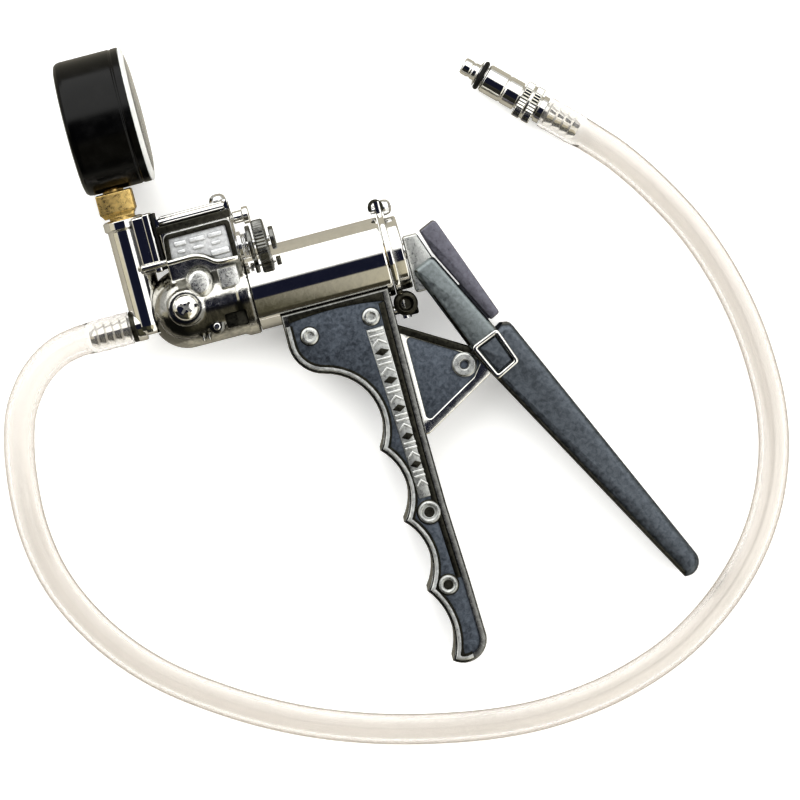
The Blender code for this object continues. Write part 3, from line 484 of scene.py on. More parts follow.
def plate(outline, low, high, edge=0.4, holes=(), plane="XY"):
    """A flat outline with thickness and rounded edges; edge is one radius, or those of the low and the
    high side. Plane YZ stands it across the cylinder."""
    bm = bmesh.new()
    low_edge, high_edge = edge if isinstance(edge, tuple) else (edge, edge)
    share = min(1.0, (high - low) * 0.98 / (low_edge + high_edge))
    rounds = [(1 - math.cos(a), 1 - math.sin(a)) for a in (0, 0.4, 0.8, 1.2, math.pi / 2)]
    levels = [(low, low_edge * share, *step) for step in reversed(rounds)]
    levels += [(high, -high_edge * share, *step) for step in rounds]
    caps = {low: [], high: []}
    for number, loop in enumerate([outline, *holes]):
        inwards = -1.0 if number else 1.0
        rings = []
        for level, radius, reach, drop in levels:
            points = inset(loop, abs(radius) * reach * inwards)
            rings.append([bm.verts.new((x, y, level + radius * drop)) for x, y in points])
        for first, second in zip(rings, rings[1:]):
            bridge(bm, first, second)
        caps[low].append(rings[0])
        caps[high].append(rings[-1])
    for loops in caps.values():
        verts = [vert for loop in loops for vert in loop]
        for corners in tessellate_polygon([[vert.co for vert in loop] for loop in loops]):
            bm.faces.new([verts[index] for index in corners])
    outward(bm)
    smooth_but_ends(bm)
    if plane == "YZ":
        bm.transform(Matrix(((0, 0, 1, 0), (1, 0, 0, 0), (0, 1, 0, 0), (0, 0, 0, 1))))
    return bm


def side_plate(side, outline, inside, outside, edge=0.4, holes=()):
    """A plate on one side of the pump: side is 1 or -1, and edge may be (inner radius, outer radius)."""
    low, high = sorted((side * inside, side * outside))
    if side < 0 and isinstance(edge, tuple):
        edge = edge[::-1]
    return plate(outline, low, high, edge, holes)


def both_sides(outline, inside, outside, edge=0.4, holes=()):
    """The same plate on the near and the far side."""
    return merge(*(side_plate(side, outline, inside, outside, edge, holes) for side in (1, -1)))


def mirrored(profile):
    """A turned profile and its mirror image beyond the middle."""
    return profile + [(radius, -height) for radius, height in reversed(profile)]


def solid_of(data, modifiers=()):
    """The evaluated mesh of curve or mesh data, as a bmesh; the data is removed."""
    guide = bpy.data.objects.new("guide", data)
    bpy.context.scene.collection.objects.link(guide)
    for kind, settings in modifiers:
        made = guide.modifiers.new(kind.lower(), kind)
        for key, value in settings.items():
            setattr(made, key, value)
    depsgraph = bpy.context.evaluated_depsgraph_get()
    mesh = bpy.data.meshes.new_from_object(guide.evaluated_get(depsgraph))
    bm = bmesh.new()
    bm.from_mesh(mesh)
    bpy.data.meshes.remove(mesh)
    bpy.data.objects.remove(guide)
    kinds = bpy.data.curves if isinstance(data, bpy.types.Curve) else bpy.data.meshes
    kinds.remove(data)
    bmesh.ops.remove_doubles(bm, verts=bm.verts, dist=1e-4)
    outward(bm)
    return bm


def block(low, high, edge=0.5):
    """A box with rounded edges."""
    corners = [(low[0], low[1]), (high[0], low[1]), (high[0], high[1]), (low[0], high[1])]
    return plate(rounded(corners, edge * 1.2), low[2], high[2], edge)


def peg(radius, start, end, edge=0.3, steps=48):
    """A plain rod with rounded ends."""
    length = (Vector(end) - Vector(start)).length
    profile = [(0.0, length), (radius, length), (radius, 0.0), (0.0, 0.0)]
    return turned(profile, start, Vector(end) - Vector(start), steps, edge=edge)


def sweep(points, outer, inner=None, sides=40):
    """A tube along points: outer and inner give the radius at each point. Without inner it is solid."""
    path = [Vector(point) for point in points]
    bm = bmesh.new()
    side = None
    rings = {"outer": [], "inner": []}
    for index, here in enumerate(path):
        ahead = path[min(index + 1, len(path) - 1)] - path[max(index - 1, 0)]
        ahead.normalize()
        if side is None:
            side = ahead.orthogonal()
        side = (side - ahead * side.dot(ahead)).normalized()
        other = ahead.cross(side)
        for key, radii in (("outer", outer), ("inner", inner)):
            if radii is None:
                continue
            loop = []
            for step in range(sides):
                angle = 2 * math.pi * step / sides
                out = side * math.cos(angle) + other * math.sin(angle)
                loop.append(bm.verts.new(here + out * radii[index]))
            rings[key].append(loop)
    for loops in rings.values():
        for first, second in zip(loops, loops[1:]):
            bridge(bm, first, second)
    if inner:
        bridge(bm, rings["outer"][0], rings["inner"][0])
        bridge(bm, rings["outer"][-1], rings["inner"][-1])
    else:
        bm.faces.new(rings["outer"][0])
        bm.faces.new(rings["outer"][-1])
    for face in bm.faces:
        face.smooth = len(face.verts) == 4
    outward(bm)
    return bm


def merge(*shapes):
    """Several shapes in one, not welded."""
    total = bmesh.new()
    for shape in shapes:
        mesh = bpy.data.meshes.new("part")
        shape.to_mesh(mesh)
        shape.free()
        total.from_mesh(mesh)
        bpy.data.meshes.remove(mesh)
    return total


def casting(shapes, grain=0.4, smooth=5):
    """Shapes melted into one skin with small fillets where they meet."""
    mesh = bpy.data.meshes.new("casting")
    merged = merge(*shapes)
    merged.to_mesh(mesh)
    merged.free()
    skin = ("REMESH", {"mode": "VOXEL", "voxel_size": grain})
    bm = solid_of(mesh, [skin, ("SMOOTH", {"factor": 0.5, "iterations": smooth})])
    for face in bm.faces:
        face.smooth = True
    return bm


def cut(shape, *tools):
    """The shape less the tools."""
    for tool in tools:
        cutter_mesh = bpy.data.meshes.new("tool")
        tool.to_mesh(cutter_mesh)
        tool.free()
        cutter = bpy.data.objects.new("tool", cutter_mesh)
        bpy.context.scene.collection.objects.link(cutter)
        mesh = bpy.data.meshes.new("cut")
        shape.to_mesh(mesh)
        shape.free()
        settings = {"operation": "DIFFERENCE", "object": cutter, "solver": "EXACT"}
        shape = solid_of(mesh, [("BOOLEAN", settings)])
        bpy.data.objects.remove(cutter)
        bpy.data.meshes.remove(cutter_mesh)
    return shape


def arc(start, middle, end, count):
    """Points on the circle through three points, without the first one."""
    (ax, ay), (bx, by), (cx, cy) = start, middle, end
    d = 2 * (ax * (by - cy) + bx * (cy - ay) + cx * (ay - by))
    a2, b2, c2 = ax * ax + ay * ay, bx * bx + by * by, cx * cx + cy * cy
    ux = (a2 * (by - cy) + b2 * (cy - ay) + c2 * (ay - by)) / d
    uy = (a2 * (cx - bx) + b2 * (ax - cx) + c2 * (bx - ax)) / d
    first = math.atan2(ay - uy, ax - ux)
    sweep_angle = math.atan2(cy - uy, cx - ux) - first
    turning_left = (bx - ax) * (cy - ay) - (by - ay) * (cx - ax) > 0
    while turning_left and sweep_angle < 0:
        sweep_angle += 2 * math.pi
    while not turning_left and sweep_angle > 0:
        sweep_angle -= 2 * math.pi
    radius = math.hypot(ax - ux, ay - uy)
    angles = [first + sweep_angle * step / count for step in range(1, count + 1)]
    return [(ux + radius * math.cos(a), uy + radius * math.sin(a)) for a in angles]


def circle(centre, radius, count=40):
    """Outline of a circle."""
    angles = [2 * math.pi * step / count for step in range(count)]
    return [(centre[0] + radius * math.cos(a), centre[1] + radius * math.sin(a)) for a in angles]


def rounded(corners, radius, count=5):
    """A closed outline with its corners rounded; radius is one number or one for each corner."""
    radii = radius if isinstance(radius, (list, tuple)) else [radius] * len(corners)
    outline = []
    for index, corner in enumerate(corners):
        here = Vector(corner)
        before = (Vector(corners[index - 1]) - here).normalized()
        after = (Vector(corners[(index + 1) % len(corners)]) - here).normalized()
        half = before.angle(after) / 2
        reach = radii[index] / math.tan(half)
        if radii[index] == 0:
            outline.append(tuple(here))
            continue
        middle = here + (before + after).normalized() * (radii[index] / math.sin(half) - radii[index])
        start = tuple(here + before * reach)
        outline.append(start)
        outline.extend(arc(start, tuple(middle), tuple(here + after * reach), count))
    return outline


def inset(outline, distance):
    """The outline moved inwards."""
    area = sum(a[0] * b[1] - b[0] * a[1] for a, b in zip(outline, outline[1:] + outline[:1]))
    side = 1.0 if area > 0 else -1.0
    moved = []
    for index, corner in enumerate(outline):
        here = Vector(corner)
        back = (here - Vector(outline[index - 1])).normalized()
        ahead = (Vector(outline[(index + 1) % len(outline)]) - here).normalized()
        normal_back = Vector((-back.y, back.x)) * side
        normal_ahead = Vector((-ahead.y, ahead.x)) * side
        middle = (normal_back + normal_ahead).normalized()
        scale = max(0.6, middle.dot(normal_back))
        moved.append(tuple(here + middle * (distance / scale)))
    return moved


def inner_loop(outline, distance):
    """The outline moved inwards, without the points that would cross over behind sharp corners."""
    kept = []
    for point in inset(outline, distance):
        here = Vector(point)
        nearest = 1e9
        for first, second in zip(outline, outline[1:] + outline[:1]):
            start, end = Vector(first), Vector(second)
            share = max(0.0, min(1.0, (here - start).dot(end - start) / (end - start).length_squared))
            nearest = min(nearest, (here - start.lerp(end, share)).length)
        if nearest > distance * 0.97:
            kept.append(point)
    return kept


def smooth_line(points, step):
    """Points a step apart on a smooth curve through the given ones."""
    path = [Vector(point) for point in points]
    fine = []
    for index in range(len(path) - 1):
        p1, p2 = path[index], path[index + 1]
        p0 = path[index - 1] if index else p1 * 2 - p2
        p3 = path[index + 2] if index + 2 < len(path) else p2 * 2 - p1
        for part in range(16):
            t = part / 16
            bend = (2 * p0 - 5 * p1 + 4 * p2 - p3) * t * t + (3 * p1 - 3 * p2 + p3 - p0) * t * t * t
            fine.append(0.5 * (2 * p1 + (p2 - p0) * t + bend))
    fine.append(path[-1])
    lengths = [0.0]
    for first, second in zip(fine, fine[1:]):
        lengths.append(lengths[-1] + (second - first).length)
    count = round(lengths[-1] / step)
    result = []
    index = 0
    for part in range(count + 1):
        target = lengths[-1] * part / count
        while index < len(fine) - 2 and lengths[index + 1] < target:
            index += 1
        share = (target - lengths[index]) / (lengths[index + 1] - lengths[index])
        result.append(fine[index].lerp(fine[index + 1], min(1.0, share)))
    return result


def piece(name, parts, replaces=(), body=BODY, place=PUMP, crease=34.0):
    """A finished object: parts are (shape, material), in millimetres in the given frame."""
    mesh = bpy.data.meshes.new(name)
    total = bmesh.new()
    for index, (shape, material) in enumerate(parts):
        mesh.materials.append(material)
        part = bpy.data.meshes.new("part")
        for face in shape.faces:
            face.material_index = index
        shape.to_mesh(part)
        shape.free()
        total.from_mesh(part)
        bpy.data.meshes.remove(part)
    total.transform(place @ Matrix.Scale(MM, 4))
    total.to_mesh(mesh)
    total.free()
    mesh.set_sharp_from_angle(angle=math.radians(crease))
    made = bpy.data.objects.new(name, mesh)
    bpy.context.scene.collection.objects.link(made)
    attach(made, body)
    if replaces:
        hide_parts(*replaces)
    return made


# ---------------------------------------------------------------- studio


def build_camera():
    data = bpy.data.cameras.new("camera")
    data.lens = VIEW_LENS
    data.clip_end = 20.0
    camera = bpy.data.objects.new("camera", data)
    bpy.context.scene.collection.objects.link(camera)
    middle = PUMP @ metres((*VIEW_MIDDLE, 0.0))
    camera.location = (middle.x, middle.y, VIEW_HEIGHT)
    camera.rotation_euler = (0.0, 0.0, math.radians(VIEW_TURN))
    bpy.context.scene.camera = camera


FLOOR_DEEP, FLOOR_PALE = (0.88, 0.88, 0.875), (0.90, 0.90, 0.895)
FLOOR_GLOW = 0.3
FLOOR_IN_METAL = (0.36, 0.34, 0.29)


def build_floor():
    """White table with a faint glow; mirrors see it darker, as if black cards stood round it."""
    shader = Shader("white_table")
    tone = shader.ramp(shader.noise(30.0, 3.0), (0.3, FLOOR_DEEP), (0.7, FLOOR_PALE))
    shader.put(Base_Color=tone, Roughness=0.7, Specular_IOR_Level=0.2)
    shader.put(Emission_Color=(1.0, 1.0, 0.99), Emission_Strength=FLOOR_GLOW)
    shader.put(Normal=shader.bump(shader.noise(0.8, 3.0), 0.01))
    seen_in_metal = shader.node("ShaderNodeBsdfDiffuse")
    shader.feed(seen_in_metal.inputs["Color"], FLOOR_IN_METAL)
    path = shader.node("ShaderNodeLightPath")
    in_mirror = shader.sum("SUBTRACT", path.outputs["Is Glossy Ray"], path.outputs["Is Transmission Ray"])
    shader.show(shader.blend(in_mirror, shader.surface.outputs[0], seen_in_metal.outputs[0]))
    bm = bmesh.new()
    bmesh.ops.create_grid(bm, x_segments=8, y_segments=8, size=2.5)
    bm.transform(Matrix.Translation((0.0, 0.0, -0.0002)))
    mesh = bpy.data.meshes.new("table")
    bm.to_mesh(mesh)
    bm.free()
    mesh.materials.append(shader.material)
    table = bpy.data.objects.new("table", mesh)
    bpy.context.scene.collection.objects.link(table)


# What the metal mirrors, in degrees from overhead:
# (angle across, half width, angle up the picture, half height, colour)
STUDIO_PANELS = [
    (0.0, 64.0, 56.0, 44.0, (1.75, 1.75, 1.72)),
    (-40.0, 40.0, -50.0, 27.0, (0.075, 0.07, 0.045)),
    (32.0, 32.0, -50.0, 27.0, (0.56, 0.51, 0.36)),
    (-100.0, 42.0, -14.0, 26.0, (0.62, 0.58, 0.45)),
    (82.0, 43.0, -14.0, 26.0, (0.03, 0.03, 0.035)),
    (21.5, 15.5, -7.0, 20.0, (1.5, 1.5, 1.48)),
    (-24.5, 30.5, -10.5, 18.5, (0.012, 0.014, 0.03)),
    (-75.0, 43.0, -62.0, 38.0, (0.03, 0.03, 0.025)),
    (62.0, 44.0, -66.0, 36.0, (1.1, 1.08, 1.0)),
    (0.0, 30.0, -82.0, 8.0, (0.05, 0.045, 0.03)),
]
STUDIO_BASE = (0.62, 0.62, 0.61)
STUDIO_SOFTNESS = 2.5


def build_world():
    """Soft white room with large pale and black cards."""
    world = bpy.data.worlds.new("studio")
    bpy.context.scene.world = world
    world.use_nodes = True
    tree = world.node_tree
    nodes, links = tree.nodes, tree.links

    def math_node(operation, first, second, third=None):
        made = nodes.new("ShaderNodeMath")
        made.operation = operation
        for socket, value in zip(made.inputs, (first, second, third)):
            if isinstance(value, bpy.types.NodeSocket):
                links.new(value, socket)
            elif value is not None:
                socket.default_value = value
        return made.outputs[0]

    direction = nodes.new("ShaderNodeSeparateXYZ")
    links.new(nodes.new("ShaderNodeTexCoord").outputs["Generated"], direction.inputs[0])
    x, y, z = direction.outputs
    across = math_node("MULTIPLY", math_node("ARCTAN2", x, z), 180.0 / math.pi)
    up = math_node("MULTIPLY", math_node("ARCTAN2", y, z), 180.0 / math.pi)
    colour = nodes.new("ShaderNodeRGB").outputs[0]
    colour.default_value = (*STUDIO_BASE, 1.0)
    for middle_x, half_x, middle_y, half_y, panel in STUDIO_PANELS:
        shares = []
        for value, middle, half in ((across, middle_x, half_x), (up, middle_y, half_y)):
            off = math_node("ABSOLUTE", math_node("SUBTRACT", value, middle), 0.0)
            edge = nodes.new("ShaderNodeMapRange")
            edge.interpolation_type = "SMOOTHSTEP"
            edge.inputs["From Min"].default_value = half + STUDIO_SOFTNESS
            edge.inputs["From Max"].default_value = half - STUDIO_SOFTNESS
            links.new(off, edge.inputs["Value"])
            shares.append(edge.outputs["Result"])
        mixed = nodes.new("ShaderNodeMix")
        mixed.data_type = "RGBA"
        links.new(math_node("MULTIPLY", *shares), mixed.inputs["Factor"])
        links.new(colour, mixed.inputs["A"])
        mixed.inputs["B"].default_value = (*panel, 1.0)
        colour = mixed.outputs["Result"]
    links.new(colour, nodes["Background"].inputs["Color"])
    nodes["Background"].inputs["Strength"].default_value = 1.0


# (name, place in metres, size in metres, power in watts)
LAMPS = (("key", (-0.35, 0.55, 1.0), 0.9, 5.0), ("fill", (0.6, -0.5, 0.9), 1.0, 3.0))


def build_lamps():
    """Large soft lamps that the metal doesn't mirror."""
    for name, place, size, power in LAMPS:
        data = bpy.data.lights.new(name, "AREA")
        data.size = size
        data.energy = power
        lamp = bpy.data.objects.new(name, data)
        bpy.context.scene.collection.objects.link(lamp)
        lamp.location = place
        lamp.rotation_euler = (-Vector(place)).to_track_quat("-Z", "Y").to_euler()
        lamp.visible_glossy = False
        lamp.visible_transmission = False


def build_studio():
    build_camera()
    build_floor()
    build_world()
    build_lamps()
    bpy.context.scene.view_settings.view_transform = "Standard"
    bpy.context.scene.view_settings.look = "Medium High Contrast"


# ---------------------------------------------------------------- hose and coupling


def on_table(x, y, height):
    """A point given in the pump's frame seen from above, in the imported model's, in millimetres."""
    return Vector((x - CENTRE_X, y - CENTRE_Y, height))


def swell(distance, length, ridges):
    """How far the hose's end stands out over a barb, at a distance from the hose's end."""
    fade = min(1.0, max(0.0, (length + 2.0 - distance) / 3.0))
    wave = max(max(0.0, 1.0 - abs(distance - ridge) / 0.9) for ridge in ridges)
    return fade * (0.18 + 0.22 * wave)


def build_hose():
    """Clear tube with its ends stretched over the two barbs."""
    line = smooth_line([on_table(*point) for point in HOSE_ROUTE], 1.6)
    lengths = [0.0]
    for first, second in zip(line, line[1:]):
        lengths.append(lengths[-1] + (second - first).length)
    total = lengths[-1]
    inlet_ridges = [0.6 + 2.5 * number for number in range(5)]
    outlet_ridges = [1.5 + 2.7 * number for number in range(4)]
    outer, inner = [], []
    for distance in lengths:
        bulge = swell(distance, INLET_SLEEVE, inlet_ridges)
        bulge += swell(total - distance, OUTLET_SLEEVE, outlet_ridges)
        outer.append(HOSE_RADIUS + bulge)
        widened = min(distance, total - distance) < WIDE_BORE_LENGTH
        inner.append(WIDE_BORE if widened else HOSE_BORE)
    shape = sweep(line, outer, inner, 48)
    nodes = ("hose", "inlet_sleeve", "outlet_sleeve")
    return piece("clear_hose", [(shape, HOSE)], nodes, place=TABLE), line, total


def build_coupling():
    """Plug with an O-ring near its tip, a knurled ring and a barb inside the hose."""
    tip = on_table(*COUPLING_TIP, COUPLING_HEIGHT)
    direction = (on_table(*COUPLING_END, COUPLING_HEIGHT) - tip).normalized()
    nose = [(1.7, 6.2), (1.7, 0.3), (2.0, 0.0), (2.35, 0.0), (2.7, 0.5), (2.7, 2.6), (2.45, 2.9)]
    nose += [(2.45, 3.4), (2.7, 3.7), (2.7, 4.9), (4.2, 5.3), (4.2, 5.5), (3.2, 5.5), (3.2, 7.7)]
    shell = [(4.2, 7.7), (4.2, 7.9), (4.6, 8.3), (4.6, 14.6), (4.35, 14.9), (4.35, 15.3), (4.6, 15.6)]
    shell += [(4.6, 19.9), (3.8, 19.9), (3.8, 27.0), (4.4, 27.0), (4.4, 28.9), (3.1, 28.9)]
    tail = []
    for ridge in reversed(range(4)):
        back = 41.0 - 2.7 * (ridge + 1)
        tail += [(3.1, back), (3.9, back + 0.3)]
    tail += [(2.9, 41.0), (1.7, 41.0)]
    body = turned(nose + shell + tail, tip, direction, 64, True, edge=0.12)
    collar = [(5.7, 26.4), (6.0, 26.1), (6.0, 24.0), (5.55, 23.8), (5.55, 23.1), (6.0, 22.9), (6.0, 20.8)]
    collar += [(5.7, 20.5), (4.1, 20.5), (4.1, 26.4)]
    knurl = turned(collar, tip, direction, 0, True, (36, 0.35, 5.65), 0.08)
    seal = []
    for step in range(12):
        angle = 2 * math.pi * step / 12
        seal.append((4.05 + 0.8 * math.cos(angle), 6.6 + 0.8 * math.sin(angle)))
    o_ring = lathe(seal, tip, direction, 64, True)
    return [
        piece("coupling_plug", [(body, NICKEL)], ("coupling_body",), place=TABLE),
        piece("coupling_knurl", [(knurl, CHROME_RIM)], ("coupling_collar",), place=TABLE),
        piece("coupling_seal", [(o_ring, RUBBER)], ("coupling_o_ring",), place=TABLE),
    ]


def build_cord():
    """The hose with its coupling."""
    on_hose = build_coupling()
    hose, line, total = build_hose()


# ---------------------------------------------------------------- head


def oval(centre, size, count=48):
    """Outline of an ellipse."""
    return [(centre[0] + size[0] * x, centre[1] + size[1] * y) for x, y in circle((0, 0), 1.0, count)]


def build_head():
    """Domed front end of the cylinder with the valve block, its bosses and ribs."""
    dome = [(0.0, -32.3)]
    for step in range(1, 13):
        angle = math.radians(90 * step / 12)
        dome.append((12.3 * math.sin(angle), -20.9 - 11.4 * math.cos(angle)))
    barrel = dome + [(12.3, -4.8), (13.1, -3.6), (13.1, 0.0), (0.0, 0.0)]
    shapes = [lathe(barrel, ORIGIN, BACK, 96)]
    shapes.append(block((-22.8, 4.0, -8.5), (-0.3, 26.2, 8.5), 0.6))
    shapes.append(block((-19.0, -2.0, -9.5), (-2.0, 8.0, 9.5), 0.6))
    shapes.append(peg(5.5, (*VALVE_SCREW, 0.0), (*VALVE_SCREW, 12.4)))
    shapes.append(peg(2.5, (*DOWEL, 5.0), (*DOWEL, 10.6), 0.4))
    for x in (-17.6, -15.9):
        shapes.append(block((x - 0.5, -11.2, 2.0), (x + 0.5, -5.0, 8.9), 0.4))
    skin = casting(shapes, 0.38, 5)
    post_room = peg(POST_RADIUS + 0.3, (POST_X, -5.4, 0), (POST_X, 40, 0), 0.1, 96)
    screw_seat = peg(4.3, (*VALVE_SCREW, 12.0), (*VALVE_SCREW, 14.0), 0.1, 64)
    pin_hole = peg(1.45, (*DOWEL, 7.0), (*DOWEL, 12.0), 0.1, 40)
    pocket = block((-9.6, -9.2, 8.4), (-2.8, -4.4, 15.0), 0.5)
    skin = cut(skin, post_room, screw_seat, pin_hole, pocket)
    swelling = plate(oval((-14.2, 7.0), (4.3, 5.0)), 6.0, 13.2, (0.5, 2.2))
    lump = block((-8.4, 3.0, 6.0), (-2.0, 9.8, 12.6), 0.6)
    # The dark block on the pocket's floor is painted shade for the depth of the recess.
    floor = block((-9.4, -9.0, 6.0), (-3.0, -4.6, 8.6), 0.2)
    parts = [(skin, CAST_NICKEL), (merge(swelling, lump), CAST_SATIN), (floor, DARK_STEEL_AND_SHADE)]
    piece("head_body", parts, ("head_casting",))
    pin_profile = [(0, 11.4), (0.9, 11.4), (1.2, 11.1), (1.2, 7.4), (0, 7.4)]
    pin = turned(pin_profile, (*DOWEL, 0.0), OUT, 40)
    piece("head_dowel", [(pin, STEEL)], ("head_pin",))


def build_valve_screw():
    """Cross-recess screw over the inlet valve, on a shallow washer face."""
    centre = (*VALVE_SCREW, 0.0)
    profile = [(0, 15.2), (1.4, 15.1), (2.7, 14.8), (3.6, 14.2), (4.0, 13.4), (4.0, 12.9), (4.1, 12.7)]
    head = turned(profile + [(4.1, 12.2), (2.5, 12.2), (2.5, 9.6), (0, 9.6)], centre, OUT, 64, edge=0.15)
    recess = []
    for angle in (45, 135):
        slot = block((-2.1, -0.42, 13.7), (2.1, 0.42, 16.5), 0.12)
        slot.transform(Matrix.Translation(centre) @ Matrix.Rotation(math.radians(angle), 4, "Z"))
        recess.append(slot)
    piece("valve_screw", [(cut(head, *recess), NICKEL)], ("valve_cap_screw",))


def build_manifold():
    """Post that carries the gauge and the barb, with its bolted flange."""
    profile = [(0, -5.0), (2.6, -5.0), (4.4, -4.3), (5.3, -3.2), (5.6, -2.0), (5.6, 28.2), (6.4, 28.7)]
    profile += [(6.4, 31.2), (5.6, 31.7), (4.4, 31.7), (4.4, 30.9), (0, 30.9)]
    post = turned(profile, (POST_X, 0, 0), UP, 96, edge=0.2)
    flange = block((-30.0, 13.4, -8.2), (-24.2, 31.0, 8.2), 0.7)
    lip = block((-26.6, 12.9, -8.5), (-24.2, 31.3, 8.5), 0.5)
    seat = [(0, 2.6), (4.9, 2.6), (4.9, 0.2), (4.2, -1.5), (0, -1.5)]
    socket = turned(seat, (BARB_X - 0.9, BARB_Y, 0), BACK, 64)
    piece("manifold_post", [(merge(post, flange, lip, socket), NICKEL)], ("inlet_manifold",))
    gasket = block((-23.95, 13.3, -8.1), (-23.05, 30.9, 8.1), 0.12)
    piece("manifold_seal", [(gasket, RUBBER)], ("manifold_gasket",))


def build_barb():
    """Hose barb with a round shoulder; the hose covers its ridges."""
    profile = [(1.7, 15.7), (1.7, -4.6), (2.4, -4.6), (2.4, 0.2), (4.3, 0.2), (4.3, 2.5), (3.1, 2.7)]
    for ridge in reversed(range(5)):
        back = 15.7 - 2.5 * (ridge + 1)
        profile += [(3.1, back), (3.95, back + 0.25)]
    profile += [(2.95, 15.7)]
    start, ahead = (BARB_X, BARB_Y, 0), (-1, 0, 0)
    shape = turned(profile, start, ahead, 64, True, edge=0.1)
    collar = turned([(4.8, 2.6), (4.8, 1.0), (4.0, 1.0), (4.0, 2.6)], start, ahead, 64, True)
    piece("inlet_barb", [(shape, NICKEL), (collar, DARK_STEEL_AND_SHADE)], ("hose_barb",))


def build_cover():
    """Cover plate with a raised rim, its screw, and the plug behind the block."""
    slab_shape = block((-22.8, 26.5, -8.8), (-0.4, 28.9, 8.8), 1.1)
    raised = block((-21.6, 28.2, -7.6), (-1.6, 29.3, 7.6), 0.4)
    # The dark strip under the cover is painted shadow from the cover's overhang.
    under = block((-23.2, 24.0, -8.6), (-0.2, 26.4, 9.2), 0.3)
    piece("cover_plate", [(merge(slab_shape, raised), NICKEL), (under, DARK_STEEL_AND_SHADE)], ("top_cover",))
    head = [(0, 31.8), (1.3, 31.6), (2.2, 30.9), (2.65, 29.9), (2.65, 29.5), (1.3, 29.5), (1.3, 22.0)]
    head.append((0, 22.0))
    screw = turned(head, (-2.9, 0, 5.2), UP, 48, edge=0.15)
    slot = block((-5.9, 31.2, 4.9), (0.1, 33.0, 5.5), 0.08)
    piece("cover_screw", [(cut(screw, slot), STEEL)], ("top_cover_screw",))
    plug = [(0, 5.3), (2.4, 5.3), (2.7, 5.0), (2.7, 3.3), (1.9, 3.2), (1.9, 0.2), (1.4, 0.2), (1.4, -6.0)]
    plug.append((0, -6.0))
    piece("passage_screw", [(turned(plug, (0, PLUG_Y, 0), BACK, 48), NICKEL)], ("passage_plug",))


def build_valve_housing():
    """Housing on the near side of the block: a wavy ledge along its lower edge and a ribbed panel."""
    wave = [(-22.4, 14.3), (-14.8, 14.4)] + arc((-14.8, 14.4), (-11.9, 13.8), (-9.6, 12.4), 6)
    wave += arc((-9.6, 12.4), (-7.5, 11.1), (-5.0, 10.7), 6) + [(-0.6, 10.6)]
    top = rounded([(-0.6, 10.6), (-0.6, 23.8), (-21.6, 23.8), (-22.4, 14.3)], [0, 1.5, 2.0, 0])[1:-1]
    body = plate(wave + top, 8.8, 15.6, 0.4)
    ledge_top = [(x, y + 1.7) for x, y in reversed(wave)]
    ledge = plate(wave + ledge_top, 14.0, 17.6, 0.8)
    # The dark raised border round the panel is painted shade where the housing's recess walls are in shadow.
    rim = plate(inset(wave + top, 0.2), 15.0, 16.6, 0.3, [inset(wave + top, 1.7)])
    tab = block((-30.8, 14.3, 8.8), (-21.0, 16.4, 11.8), 0.8)
    ribs = []
    for x, length in ((-18.8, 3.8), (-14.0, 4.8), (-8.2, 4.4)):
        ribs.append(block((x, 19.3, 15.3), (x + length, 20.8, 16.4), 0.35))
        ribs.append(block((x + 0.5, 17.0, 15.3), (x + length - 0.9, 18.1, 16.2), 0.3))
    ribs.append(block((-8.6, 13.6, 15.2), (-2.6, 15.6, 16.3), 0.5))
    parts = [(merge(body, *ribs), FACE), (merge(ledge, tab), CHROME_RIM), (rim, DARK_STEEL_AND_SHADE)]
    piece("housing", parts, ("valve_housing",))


def build_release():
    """Sprung plunger with a large knurled knob."""
    bush = [(4.4, 1.3), (4.4, 0.0), (2.6, 0.0), (2.6, -3.0), (1.25, -3.0), (1.25, 1.3)]
    shape = turned(bush, RELEASE_AXIS, BACK, 48, True)
    piece("plunger_bush", [(shape, STEEL)], ("release_bush",))
    shape = turned([(0, 9.7), (0.95, 9.7), (0.95, -9.0), (0, -9.0)], RELEASE_AXIS, BACK, 32)
    piece("plunger_stem", [(shape, STEEL)], ("release_stem",), "release_plunger")
    washer = [(5.3, 4.5), (5.5, 4.1), (5.5, 3.5), (5.3, 3.1), (1.2, 3.1), (1.2, 4.5)]
    knob = [(4.6, 9.0), (6.1, 8.9), (6.6, 8.4), (6.6, 5.8), (6.1, 5.2), (1.2, 5.2), (1.2, 8.5), (4.2, 8.5)]
    nut = [(3.4, 11.4), (3.6, 11.2), (3.6, 10.1), (3.4, 9.9), (1.2, 9.9), (1.2, 11.4)]
    for name, node, profile, steps, teeth, edge in (
        ("plunger_washer", "release_washer", washer, 64, None, 0.1),
        ("plunger_knob", "release_knob", knob, 0, (40, 0.25, 6.3), 0.12),
        ("plunger_nut", "release_end_nut", nut, 48, None, 0.1),
    ):
        shape = turned(profile, RELEASE_AXIS, BACK, steps, True, teeth, edge)
        piece(name, [(shape, DARK_CHROME)], (node,), body="release_plunger")
    ends = (1.65, 2.75)
    spring("plunger_spring", "release_spring", RELEASE_AXIS, 3.2, 0.25, ends, 2.0)


def spring(name, node, centre, radius, wire, ends, turns):
    """Coil along X, with a mesh of its own."""
    line = []
    count = int(48 * turns)
    for step in range(count + 1):
        angle = 2 * math.pi * turns * step / count
        x = ends[0] + (ends[1] - ends[0]) * step / count
        line.append((x, centre[1] + radius * math.cos(angle), centre[2] + radius * math.sin(angle)))
    made = piece(name, [(sweep(line, [wire] * len(line), None, 12), STEEL)], (node,))
    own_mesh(made)


# ---------------------------------------------------------------- gauge

CASE_BACK = -41.6
CASE_PLACE = (CASE_BACK, GAUGE_Y, 0.0)
POINTER_REST = 135.0
SCALE_SWEEP = 270.0


def dial_point(radius, angle, x):
    """A point on the dial; the angle runs clockwise from the zero mark, seen from the front."""
    turn = math.radians(POINTER_REST - angle)
    return (x, GAUGE_Y + radius * math.cos(turn), radius * math.sin(turn))


